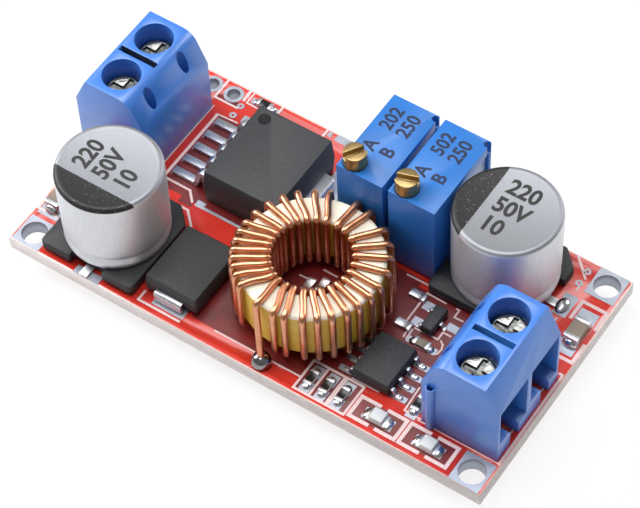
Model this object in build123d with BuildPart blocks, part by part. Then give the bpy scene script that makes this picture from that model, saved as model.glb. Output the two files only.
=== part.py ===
"""Adjustable step-down converter module on a small red circuit board.

The board lies flat, X along its length and Y along its width, and stands on the tips
of its soldered pins at Z = 0. Two screw terminal blocks stand at its ends, input at -X
and output at +X. Between them are two can capacitors, a moulded power regulator, a
rectifier diode, a toroid inductor, two multi-turn trimmers and the small control parts.

Places on the board are given from the middle of the board. A seat is a plane on the
board's top face at such a place, turned so that its X points along the part.
"""

import os
from math import cos, pi, radians, sin

from build123d import *

os.makedirs("parts", exist_ok=True)

# Circuit board
board_thickness = 1.6
pin_drop = 1.8
mount_hole_d = 2.5
mount_hole_inset_x = 1.8
mount_hole_inset_y = 1.65
hole_clearance = 0.1
wire_hole_d = 1.3
wire_hole_inset_x = (5.45, 7.9)
wire_hole_inset_y = 1.3

# Screw terminal blocks
pole_pitch = 5.08
pole_count = 2
block_width = pole_pitch * pole_count
block_height = 10.0
block_front = 3.7
block_back = 4.0
block_top_front = 2.3
block_top_back = 2.5
block_lintel = 7.0
block_back_slope_z = 6.5
block_back_round = 1.6
well_d = 3.7
pole_cavity_width = 4.45
pole_cavity_back = 1.95
top_slot_length = 4.1
top_slot_width = 0.6
top_slot_depth = 2.8
back_hole_d = 1.1
back_hole_offset = 3.05
back_hole_floor = 5.2
tab_width = 1.78
tab_height = 2.3
tab_round = 0.6
sill_width = 1.25
sill_height = 1.5
rib_d = 0.95
rib_offset = 3.05
rib_height = 6.2
rib_hole_d = 0.66
rib_hole_depth = 1.0
rib_groove_clearance = 0.1

frame_length = 3.2
frame_wall = 0.45
frame_floor_z = 0.9
frame_plate = 0.5
tongue_reach = 1.9
tongue_width = 3.4
terminal_pin_d = 1.0
screw_thread_d = 2.9
screw_head_d = 3.4
screw_head_height = 0.85
screw_recess_width = 0.5
screw_recess_depth = 0.4
thread_clearance = 0.05
running_gap = 0.03
leaf_thickness = 0.4
leaf_side_gap = 0.1

# Can capacitors
base_width = 10.3
base_rim = 0.15
can_d = base_width - 2 * base_rim
can_top = 10.2
can_foot_inset = 0.4
can_foot_rise = 0.5
can_groove_z = 2.55
can_groove_half = 0.4
can_groove_depth = 0.24
can_shoulder = 0.55
can_rim_width = 0.25
can_rim_depth = 0.06
base_height = 1.05
base_chamfer = 1.7
base_notch_width = 3.6
base_notch_depth = 0.7
base_corner = 0.5
can_lead_width = 0.9
can_lead_thickness = 0.2
can_lead_inner = 1.6
can_lead_proud = 0.5

# Power regulator
regulator_length = 8.4
regulator_width = 9.7
regulator_top = 4.5
regulator_parting = 2.2
regulator_bottom = 0.12
regulator_draft = 6.0
regulator_corner = 0.3
regulator_dot_d = 1.2
regulator_dot_spot = (-2.75, 3.45)
regulator_lead_count = 5
regulator_lead_pitch = 1.7
regulator_lead_width = 0.8
regulator_lead_thickness = 0.5
regulator_lead_out = 1.1
regulator_lead_reach = 4.4
regulator_tab_height = 1.27
regulator_tab_reach = 1.1
regulator_tab_width = 6.4
regulator_tab_inset = 1.2

# Rectifier diode
diode_length = 6.9
diode_width = 5.8
diode_top = 2.3
diode_parting = 1.15
diode_bottom = 0.32
diode_draft = 8.0
diode_lead_width = 3.0
diode_lead_thickness = 0.26
diode_lead_out = 0.45
diode_lead_tuck = 1.3

# Toroid inductor
core_bore_d = 8.1
core_wall = 2.65
core_outer_d = core_bore_d + 2 * core_wall
core_height = 5.45
core_seat = 1.2
core_edge = 0.75
wire_d = 0.65
wire_bend = 0.75
wire_start_offset = 0.16
wire_start_gap = 0.83
turn_group_counts = (1, 2, 6, 5, 2, 6, 8)
turn_group_rim_angles = ((261, 261), (275, 284), (298, 351), (362, 416), (435, 447), (470, 530), (542, 600))
turn_group_bore_angles = ((257, 257), (270, 281), (294, 350), (364, 418), (435, 448), (465, 527), (537, 606))

# Multi-turn trimmers
trimmer_length = 9.53
trimmer_width = 4.83
trimmer_top = 10.2
trimmer_standoff = 0.3
trimmer_wall = 0.42
trimmer_roof = 1.2
trimmer_floor = 0.75
trimmer_panel_depth = 0.35
trimmer_panel_length = 5.3
trimmer_notch_d = 0.7
trimmer_notch_depth = 1.3
adjuster_offset = (-1.15, -3.6)
adjuster_d = 2.19
adjuster_proud = 1.5
adjuster_slot = 0.56
adjuster_slot_depth = 0.6
adjuster_rod_d = 0.9
adjuster_seat_depth = 0.7
adjuster_collar_d = 1.5
adjuster_collar_height = 0.3
adjuster_clearance = 0.05
element_thickness = 0.6
element_offset = 1.1
carriage_width = 2.4
carriage_height = 1.5
carriage_side_gap = 0.06
trimmer_pin_d = 0.5
trimmer_pin_pitch = 2.54

# Control parts
opamp_size = (3.9, 4.9)
opamp_lead_pitch = 1.27
opamp_lead_reach = 1.05
opamp_lead_out = 0.25
opamp_lead_section = (0.42, 0.2)
opamp_top = 1.6
reference_size = (1.3, 2.9)
reference_top = 1.1
reference_lead_pitch = 1.9
reference_lead_reach = 0.6
reference_lead_out = 0.18
reference_lead_section = (0.42, 0.15)
small_body_bottom = 0.15
small_body_draft = 7.0

led_size = (2.0, 1.25, 0.8)
chip_size = (1.6, 0.8, 0.5)
ceramic_size = (2.5, 1.5, 1.2)
chip_cap_length = 0.32
ceramic_cap_length = 0.45
chip_cap_lip = 0.02
shunt_size = (6.4, 3.2, 0.55)

# Gaps along the board, from its input end through the lower row of parts to its output end
edge_to_capacitor = 3.37
capacitor_to_diode = 0.53
diode_to_winding = 0.4
winding_to_opamp = 0.05
opamp_to_block = 3.7
block_to_edge = 0.55
block_overhang = 0.65

# Gaps along the upper row of parts
block_to_regulator = 1.45
tab_to_trimmer = 3.105
trimmer_to_trimmer = 0.62
trimmer_to_capacitor = 0.005

# Gaps across the board
edge_to_winding = 1.93
winding_to_trimmer = 0.075
trimmer_to_edge = 0.065
capacitor_edge_gap = 0.57
block_edge_gap = 3.65
regulator_edge_gap = 3.65
diode_edge_gap = 1.95
opamp_edge_gap = 4.05
chip_row_edge_gap = 1.35
opamp_to_ceramic = 0.95
ceramic_to_reference = 0.7
feedback_to_capacitor = 0.48

# Steps from one control part to the next
resistor_steps = (4.78, 3.18, 1.52)
resistor_rise = 0.3
edge_resistor_inset = (11.3, 0.95)
led_step = 2.43
led_to_block = 2.05
ceramic_step = 1.45
reference_step = 1.15
sense_chip_to_block = 1.05
sense_chip_drop = 1.65
filter_ceramic_inset = 1.45
filter_ceramic_to_block = 4.8
input_ceramic_inset = 1.6
feedback_steps = ((-1.6, 1.7), (-1.05, -1.65))
bore_chip_steps = ((-1.2, 0.87), (-0.1, 1.52))
shunt_step = (1.6, 3.65)

# Solder
terminal_cone = (1.1, 0.75, 1.0)
trimmer_cone = (0.75, 0.4, 0.7)
wire_cone = (0.95, 0.55, 0.8)
wire_dome_d = 2.2
wire_dome_height = 0.75
solder_fit = 0.01

# The board's length and width follow from what stands along and across it
winding_r = core_outer_d / 2 + wire_d
board_length = (
    edge_to_capacitor
    + base_width
    + capacitor_to_diode
    + diode_width
    + diode_to_winding
    + 2 * winding_r
    + winding_to_opamp
    + opamp_size[0]
    + opamp_to_block
    + block_back
    + block_front
    + block_to_edge
)
winding_stack = edge_to_winding + 2 * winding_r + winding_to_trimmer + trimmer_length + trimmer_to_edge
ceramic_rise = opamp_edge_gap + opamp_size[1] + opamp_to_ceramic + chip_size[1] / 2
reference_rise = ceramic_rise + chip_size[1] / 2 + ceramic_to_reference + reference_size[1] / 2
feedback_top = reference_rise + feedback_steps[0][1] + chip_size[1] / 2
control_stack = feedback_top + feedback_to_capacitor + base_width + capacitor_edge_gap
board_width = max(winding_stack, control_stack)
left, right = -board_length / 2, board_length / 2
lower, upper = -board_width / 2, board_width / 2

# Places of the parts, from the middle of the board
capacitor_inset = capacitor_edge_gap + base_width / 2
input_capacitor_spot = (left + edge_to_capacitor + base_width / 2, lower + capacitor_inset)
diode_x = input_capacitor_spot[0] + base_width / 2 + capacitor_to_diode + diode_width / 2
diode_spot = (diode_x, lower + diode_edge_gap + diode_length / 2)
toroid_spot = (diode_x + diode_width / 2 + diode_to_winding + winding_r, lower + edge_to_winding + winding_r)
wire_start_spot = (toroid_spot[0] - wire_start_offset, toroid_spot[1] - winding_r - wire_start_gap)
opamp_x = toroid_spot[0] + winding_r + winding_to_opamp + opamp_size[0] / 2
opamp_spot = (opamp_x, lower + opamp_edge_gap + opamp_size[1] / 2)
input_block = (left - block_overhang + block_front, upper - block_edge_gap - block_width / 2)
output_block = (right - block_to_edge - block_front, lower + block_edge_gap + block_width / 2)
regulator_x = input_block[0] + block_back + block_to_regulator + regulator_lead_reach + regulator_length / 2
regulator_spot = (regulator_x, upper - regulator_edge_gap - regulator_width / 2)
trimmer_x = regulator_x + regulator_length / 2 + regulator_tab_reach + tab_to_trimmer + trimmer_width / 2
trimmer_y = upper - trimmer_to_edge - trimmer_length / 2
trimmer_spots = ((trimmer_x, trimmer_y), (trimmer_x + trimmer_width + trimmer_to_trimmer, trimmer_y))
output_capacitor_spot = (
    trimmer_spots[1][0] + trimmer_width / 2 + trimmer_to_capacitor + base_width / 2,
    upper - capacitor_inset,
)
wire_hole_spots = [(left + inset, upper - wire_hole_inset_y) for inset in wire_hole_inset_x]
chip_row_y = lower + chip_row_edge_gap + chip_size[0] / 4
resistor_spots = [(opamp_spot[0] - step, chip_row_y + resistor_rise) for step in resistor_steps]
edge_resistor_spot = (left + edge_resistor_inset[0], upper - edge_resistor_inset[1])
led_spots = [(opamp_spot[0] + led_step, chip_row_y), (output_block[0] - led_to_block, chip_row_y)]
small_ceramic_spot = (opamp_spot[0] + ceramic_step, lower + ceramic_rise)
reference_spot = (opamp_spot[0] + reference_step, lower + reference_rise)
sense_chip_spot = (output_block[0] - block_back - sense_chip_to_block, opamp_spot[1] - sense_chip_drop)
filter_ceramic_spot = (
    right - filter_ceramic_inset,
    output_block[1] + block_width / 2 + filter_ceramic_to_block,
)
input_ceramic_spot = (left + input_ceramic_inset, input_capacitor_spot[1])
feedback_chip_spots = [
    (opamp_spot[0] + across, reference_spot[1] + along) for across, along in feedback_steps
]
hidden_chip_spots = [(toroid_spot[0] + across, toroid_spot[1] + along) for across, along in bore_chip_steps]
shunt_spot = (opamp_spot[0] + shunt_step[0], opamp_spot[1] + shunt_step[1])

board_shift = block_overhang / 2
board_under_z = pin_drop
board_top_z = pin_drop + board_thickness
pin_length = pin_drop + board_thickness


def seat(spot, turn=0):
    """A plane on the board's top face at a place on the board, its X turned about Z."""
    forward = (cos(radians(turn)), sin(radians(turn)), 0)
    return Plane(origin=(board_shift + spot[0], spot[1], board_top_z), x_dir=forward, z_dir=(0, 0, 1))


def side_of(base):
    """The upright plane through a seat whose sketch runs along the seat's X and up."""
    return Plane(origin=base.origin, x_dir=base.x_dir, z_dir=-base.y_dir)


def front_of(base):
    """The upright plane through a seat whose sketch runs along the seat's Y and up."""
    return Plane(origin=base.origin, x_dir=base.y_dir, z_dir=base.x_dir)


def save(piece, label):
    piece.part.label = label
    export_step(piece.part, f"parts/{label}.step")


def spots_on_board(spot, turn, offsets):
    """Places on the board of points given in the frame of a turned part."""
    along = Vector(cos(radians(turn)), sin(radians(turn)))
    across = Vector(-along.Y, along.X)
    points = [along * u + across * v for u, v in offsets]
    return [(spot[0] + p.X, spot[1] + p.Y) for p in points]


pole_offsets = [(0, (i - (pole_count - 1) / 2) * pole_pitch) for i in range(pole_count)]
trimmer_pin_offsets = [(0, i * trimmer_pin_pitch) for i in (-1, 0, 1)]
blocks = {"input": (input_block, 180), "output": (output_block, 0)}
trimmers = {"voltage": trimmer_spots[0], "current": trimmer_spots[1]}

terminal_pin_spots = [s for spot, turn in blocks.values() for s in spots_on_board(spot, turn, pole_offsets)]
trimmer_pin_spots = [s for spot in trimmers.values() for s in spots_on_board(spot, 0, trimmer_pin_offsets)]

# Each turn stands at one angle on the rim and at another in the bore, where the turns crowd
turns = []
for count, rims, bores in zip(turn_group_counts, turn_group_rim_angles, turn_group_bore_angles):
    for i in range(count):
        share = i / max(count - 1, 1)
        turns.append((rims[0] + (rims[1] - rims[0]) * share, bores[0] + (bores[1] - bores[0]) * share))
wire_outer_r = core_outer_d / 2 + wire_d / 2
wire_inner_r = core_bore_d / 2 - wire_d / 2
wire_low_z = board_top_z + core_seat - wire_d / 2
wire_high_z = board_top_z + core_seat + core_height + wire_d / 2


def on_toroid(radius, angle, z):
    x = board_shift + toroid_spot[0] + radius * cos(radians(angle))
    return (x, toroid_spot[1] + radius * sin(radians(angle)), z)


wire_end = on_toroid(wire_inner_r, turns[-1][1], 0)
wire_end_spot = (wire_end[0] - board_shift, wire_end[1])
wire_spots = (wire_start_spot, wire_end_spot)


def make_board():
    reach_x = board_length / 2 - mount_hole_inset_x
    reach_y = board_width / 2 - mount_hole_inset_y
    corners = ((-reach_x, -reach_y), (reach_x, -reach_y), (reach_x, reach_y))
    with BuildPart() as board:
        with BuildSketch(Plane(origin=(board_shift, 0, board_under_z))):
            Rectangle(board_length, board_width)
            with Locations(*corners):
                Circle(mount_hole_d / 2, mode=Mode.SUBTRACT)
            with Locations(*wire_hole_spots):
                Circle(wire_hole_d / 2, mode=Mode.SUBTRACT)
            with Locations(*terminal_pin_spots):
                Circle(terminal_pin_d / 2 + hole_clearance, mode=Mode.SUBTRACT)
            with Locations(*trimmer_pin_spots):
                Circle(trimmer_pin_d / 2 + hole_clearance, mode=Mode.SUBTRACT)
            with Locations(*wire_spots):
                Circle(wire_d / 2 + hole_clearance, mode=Mode.SUBTRACT)
        extrude(amount=board_thickness)
    save(board, "circuit_board")


def make_block_housing(label, base):
    """The moulded block: a well and a wire mouth for each pole, a rib and a groove on its ends."""
    with BuildPart() as housing:
        with BuildSketch(side_of(base)):
            with BuildLine():
                Polyline(
                    (-block_back, 0),
                    (block_front, 0),
                    (block_front, block_lintel),
                    (block_top_front, block_height),
                    (-block_top_back, block_height),
                    (-block_back, block_back_slope_z),
                    close=True,
                )
            make_face()
        extrude(amount=block_width / 2, both=True)
        top_edges = housing.edges().filter_by(Axis((0, 0, 0), base.y_dir)).group_by(Axis.Z)[-1]
        fillet(top_edges.sort_by(Axis((0, 0, 0), base.x_dir))[0], block_back_round)
        with BuildSketch(base):
            for _, v in pole_offsets:
                with Locations(((block_front - pole_cavity_back) / 2, v)):
                    Rectangle(block_front + pole_cavity_back, pole_cavity_width)
        extrude(amount=block_lintel, mode=Mode.SUBTRACT)
        with BuildSketch(front_of(base).offset(block_front)):
            for _, v in pole_offsets:
                near_wall = v - pole_cavity_width / 2
                far_wall = v + pole_cavity_width / 2
                tab_edge = near_wall + tab_width
                with BuildLine():
                    arc_top = (tab_edge - tab_round, tab_height)
                    arc_side = (tab_edge, tab_height - tab_round)
                    Polyline(arc_side, (tab_edge, 0), (near_wall, 0), (near_wall, tab_height))
                    Line((near_wall, tab_height), arc_top)
                    RadiusArc(arc_top, arc_side, tab_round)
                make_face()
                with Locations((far_wall - sill_width / 2, sill_height / 2)):
                    Rectangle(sill_width, sill_height)
        extrude(amount=frame_length / 2 + leaf_side_gap - block_front)
        with BuildSketch(base.offset(block_height)):
            with Locations(*pole_offsets):
                Circle(well_d / 2)
        extrude(amount=block_lintel - block_height, mode=Mode.SUBTRACT)
        with BuildSketch(base.offset(block_height)):
            Rectangle(top_slot_length, top_slot_width)
        extrude(amount=-top_slot_depth, mode=Mode.SUBTRACT)
        with BuildSketch(base.offset(back_hole_floor)):
            with Locations(*[(-back_hole_offset, v) for _, v in pole_offsets]):
                Circle(back_hole_d / 2)
        extrude(amount=block_height - back_hole_floor, mode=Mode.SUBTRACT)
        with BuildSketch(base):
            with Locations((-rib_offset, -block_width / 2)):
                Circle(rib_d / 2)
        extrude(amount=rib_height)
        with BuildSketch(base.offset(rib_height)):
            with Locations((-rib_offset, -block_width / 2 - (rib_d - rib_hole_d) / 4)):
                Circle(rib_hole_d / 2)
        extrude(amount=-rib_hole_depth, mode=Mode.SUBTRACT)
        with BuildSketch(base):
            with Locations((-rib_offset, block_width / 2)):
                Circle(rib_d / 2 + rib_groove_clearance)
        extrude(amount=rib_height + rib_groove_clearance, mode=Mode.SUBTRACT)
    save(housing, label)


frame_top = block_lintel
frame_width = pole_cavity_width
frame_floor_top = frame_floor_z + frame_plate
leaf_z = frame_floor_top + running_gap
screw_tip_z = leaf_z + leaf_thickness + running_gap


def make_clamp_frames(label, base):
    """Two folded brass frames, each with a threaded top plate, a tongue and a solder pin."""
    with BuildPart() as frames:
        with BuildSketch(front_of(base)):
            for _, v in pole_offsets:
                with Locations((v, (frame_floor_z + frame_top) / 2)):
                    Rectangle(frame_width, frame_top - frame_floor_z)
                    Rectangle(
                        frame_width - 2 * frame_wall,
                        frame_top - frame_floor_z - 2 * frame_plate,
                        mode=Mode.SUBTRACT,
                    )
        extrude(amount=frame_length / 2, both=True)
        with BuildSketch(base.offset(frame_top)):
            for _, v in pole_offsets:
                with Locations((frame_length / 2 + tongue_reach / 2, v)):
                    Rectangle(tongue_reach, tongue_width)
        extrude(amount=-frame_plate)
        with BuildSketch(base.offset(frame_floor_z)):
            with Locations(*pole_offsets):
                Circle(terminal_pin_d / 2)
        extrude(amount=-frame_floor_z - pin_length)
        with BuildSketch(base.offset(frame_top)):
            with Locations(*pole_offsets):
                Circle(screw_thread_d / 2 + thread_clearance)
        extrude(amount=-frame_plate, mode=Mode.SUBTRACT)
    save(frames, label)


def make_clamp_leaf(label, base):
    """The pressure plate under one screw, wide enough to fill its frame."""
    with BuildPart() as leaf:
        with BuildSketch(base.offset(leaf_z)):
            RectangleRounded(
                frame_length - leaf_side_gap,
                frame_width - 2 * (frame_wall + leaf_side_gap),
                leaf_thickness,
            )
        extrude(amount=leaf_thickness)
    save(leaf, label)


def make_clamp_screw(label, base):
    """A short machine screw with a cross recess, its head resting on the frame."""
    head_z = block_lintel + running_gap
    with BuildPart() as screw:
        with BuildSketch(base.offset(screw_tip_z)):
            Circle(screw_thread_d / 2)
        extrude(amount=head_z - screw_tip_z)
        with BuildSketch(base.offset(head_z)):
            Circle(screw_head_d / 2)
        extrude(amount=screw_head_height)
        chamfer(screw.faces().sort_by(Axis.Z)[-1].edges(), screw_recess_depth / 2)
        chamfer(screw.faces().sort_by(Axis.Z)[0].edges(), screw_recess_depth / 2)
        with BuildSketch(base.offset(head_z + screw_head_height)):
            Rectangle(screw_head_d * 0.8, screw_recess_width)
            Rectangle(screw_recess_width, screw_head_d * 0.8)
        extrude(amount=-screw_recess_depth, mode=Mode.SUBTRACT)
    save(screw, label)


def make_terminal_blocks():
    for side, (spot, turn) in blocks.items():
        base = seat(spot, turn)
        make_block_housing(f"{side}_block_housing", base)
        make_clamp_frames(f"{side}_clamp_frames", base)
        for number, pole in enumerate(spots_on_board(spot, turn, pole_offsets), start=1):
            make_clamp_leaf(f"{side}_clamp_leaf_{number}", seat(pole, turn))
            make_clamp_screw(f"{side}_clamp_screw_{number}", seat(pole, turn))


def make_capacitor(side, spot, turn):
    """A crimped aluminium can on a moulded base, with two flat leads along its X."""
    base = seat(spot, turn)
    base_top = can_lead_thickness + base_height
    radius = can_d / 2
    foot_radius = radius - can_foot_inset
    with BuildPart() as can:
        with BuildSketch(side_of(base)):
            with BuildLine():
                groove_low = (radius, can_groove_z - can_groove_half)
                groove_mid = (radius - can_groove_depth, can_groove_z)
                groove_high = (radius, can_groove_z + can_groove_half)
                foot_turn = (radius, base_top + can_foot_rise)
                shoulder_low = (radius, can_top - can_shoulder)
                shoulder_high = (radius - can_shoulder, can_top)
                rim_edge = (radius - can_shoulder - can_rim_width, can_top)
                Polyline((0, base_top), (foot_radius, base_top), foot_turn, groove_low, groove_mid)
                Polyline(groove_mid, groove_high, shoulder_low)
                RadiusArc(shoulder_low, shoulder_high, -can_shoulder)
                Line(shoulder_high, rim_edge)
                inner = (rim_edge[0] - can_rim_depth, can_top - can_rim_depth)
                Polyline(rim_edge, inner, (0, can_top - can_rim_depth), (0, base_top))
            make_face()
        revolve(axis=Axis(base.origin, (0, 0, 1)))
    save(can, f"{side}_capacitor_can")

    with BuildPart() as foot:
        with BuildSketch(base.offset(can_lead_thickness)):
            Rectangle(base_width, base_width)
            chamfer(vertices().group_by(Axis.X)[-1], base_chamfer)
            fillet(vertices().group_by(Axis.X)[0], base_corner)
            with Locations((base_width / 2, 0), (-base_width / 2, 0)):
                Rectangle(2 * base_notch_depth, base_notch_width, mode=Mode.SUBTRACT)
        extrude(amount=base_height)
    save(foot, f"{side}_capacitor_base")

    lead_reach = base_width / 2 + can_lead_proud
    with BuildPart() as leads:
        with BuildSketch(base):
            middle = (can_lead_inner + lead_reach) / 2
            with Locations((middle, 0), (-middle, 0)):
                Rectangle(lead_reach - can_lead_inner, can_lead_width)
        extrude(amount=can_lead_thickness)
    save(leads, f"{side}_capacitor_leads")


def make_moulded_body(label, base, size, levels, draft, corner=0, dot=(), pocket=()):
    """A moulded package whose sides slope away from its parting line both ways."""
    bottom, parting, top = levels
    with BuildPart() as body:
        for end in (top, bottom):
            with BuildSketch(base.offset(parting)):
                Rectangle(size[0], size[1])
                if corner:
                    fillet(vertices(), corner)
            extrude(amount=end - parting, taper=draft)
        if dot:
            with BuildSketch(base.offset(top)):
                with Locations(dot[:2]):
                    Circle(dot[2] / 2)
            extrude(amount=-bottom, mode=Mode.SUBTRACT)
        if pocket:
            with BuildSketch(base):
                with Locations((pocket[0] / 2, 0)):
                    Rectangle(size[0] - pocket[0], pocket[1])
            extrude(amount=pocket[2], mode=Mode.SUBTRACT)
    save(body, label)


def make_gull_leads(base, pitch, sides, width, thickness, body_edge, exit_z, out, reach):
    """Bent leads from a package's sides: out, down and flat on the board, on its -X and +X sides."""
    with BuildPart() as leads:
        for side, count in sides:
            rows = [(i - (count - 1) / 2) * pitch for i in range(count)]
            for v in rows:
                across = base.origin + base.y_dir * v
                upright = Plane(origin=across, x_dir=base.x_dir * side, z_dir=-base.y_dir * side)
                foot_z = thickness / 2
                with BuildLine(upright) as path:
                    FilletPolyline(
                        (body_edge, exit_z),
                        (body_edge + out, exit_z),
                        (body_edge + out + (exit_z - foot_z) * 0.3, foot_z),
                        (body_edge + reach, foot_z),
                        radius=thickness * 0.6,
                    )
                with BuildSketch(Plane(origin=path.line @ 0, x_dir=base.y_dir, z_dir=path.line % 0)):
                    Rectangle(width, thickness)
                sweep(path=path.line)
    return leads


def make_regulator():
    base = seat(regulator_spot)
    make_moulded_body(
        "regulator_body",
        base,
        (regulator_length, regulator_width),
        (regulator_bottom, regulator_parting, regulator_top),
        regulator_draft,
        regulator_corner,
        dot=(*regulator_dot_spot, regulator_dot_d),
        pocket=(regulator_tab_inset, regulator_tab_width, regulator_tab_height),
    )

    tab_length = regulator_length - regulator_tab_inset
    with BuildPart() as tab:
        with BuildSketch(base):
            with Locations(((regulator_tab_inset + regulator_tab_reach) / 2, 0)):
                Rectangle(tab_length + regulator_tab_reach, regulator_tab_width)
        extrude(amount=regulator_tab_height)
        chamfer(tab.edges().filter_by(Axis.Z).group_by(Axis.X)[-1], regulator_tab_reach / 3)
    save(tab, "regulator_tab")

    leads = make_gull_leads(
        base,
        regulator_lead_pitch,
        ((-1, regulator_lead_count),),
        regulator_lead_width,
        regulator_lead_thickness,
        regulator_length / 2,
        regulator_parting,
        regulator_lead_out,
        regulator_lead_reach,
    )
    save(leads, "regulator_leads")


def make_diode():
    base = seat(diode_spot, 90)
    levels = (diode_bottom, diode_parting, diode_top)
    make_moulded_body("diode_body", base, (diode_length, diode_width), levels, diode_draft, regulator_corner)
    with BuildPart() as leads:
        for side in (-1, 1):
            upright = Plane(origin=base.origin, x_dir=base.x_dir * side, z_dir=-base.y_dir * side)
            edge = diode_length / 2
            outer = edge + diode_lead_out
            foot_z = diode_lead_thickness / 2
            with BuildLine(upright) as path:
                FilletPolyline(
                    (edge, diode_parting),
                    (outer, diode_parting),
                    (outer, foot_z),
                    (outer - diode_lead_tuck, foot_z),
                    radius=diode_lead_thickness * 0.8,
                )
            with BuildSketch(Plane(origin=path.line @ 0, x_dir=base.y_dir, z_dir=path.line % 0)):
                Rectangle(diode_lead_width, diode_lead_thickness)
            sweep(path=path.line)
    save(leads, "diode_leads")


def make_inductor():
    """A rounded ring core wound with one wire, whose ends pass through the board."""
    base = seat(toroid_spot)
    with BuildPart() as core:
        with BuildSketch(side_of(base)):
            core_wall = (core_outer_d - core_bore_d) / 2
            with Locations(((core_outer_d + core_bore_d) / 4, core_seat + core_height / 2)):
                Rectangle(core_wall, core_height)
            chamfer(vertices(), min(core_edge, core_wall * 0.4))
        revolve(axis=Axis(base.origin, (0, 0, 1)))
    save(core, "inductor_core")

    inner_bend = wire_bend * 0.6
    start = (board_shift + wire_start_spot[0], wire_start_spot[1])
    points = [(*start, 0.4), (*start, board_top_z + core_seat)]
    for i, (rim, bore) in enumerate(turns):
        if i:
            points += [
                on_toroid(wire_inner_r + inner_bend, turns[i - 1][1], wire_low_z),
                on_toroid(wire_outer_r - wire_bend, rim, wire_low_z),
                on_toroid(wire_outer_r, rim, wire_low_z + wire_bend),
            ]
        points += [
            on_toroid(wire_outer_r, rim, wire_high_z - wire_bend),
            on_toroid(wire_outer_r - wire_bend, rim, wire_high_z),
            on_toroid(wire_inner_r + inner_bend, bore, wire_high_z),
            on_toroid(wire_inner_r, bore, wire_high_z - inner_bend),
        ]
        if i < len(turns) - 1:
            points.append(on_toroid(wire_inner_r, bore, wire_low_z + inner_bend))
    points.append(on_toroid(wire_inner_r, turns[-1][1], 0.6))
    with BuildPart() as winding:
        with BuildLine() as path:
            Polyline(*points)
        with BuildSketch(Plane(origin=path.line @ 0, z_dir=path.line % 0)):
            RegularPolygon(wire_d / 2, 8)
        sweep(path=path.line, transition=Transition.RIGHT)
    save(winding, "inductor_winding")


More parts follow.
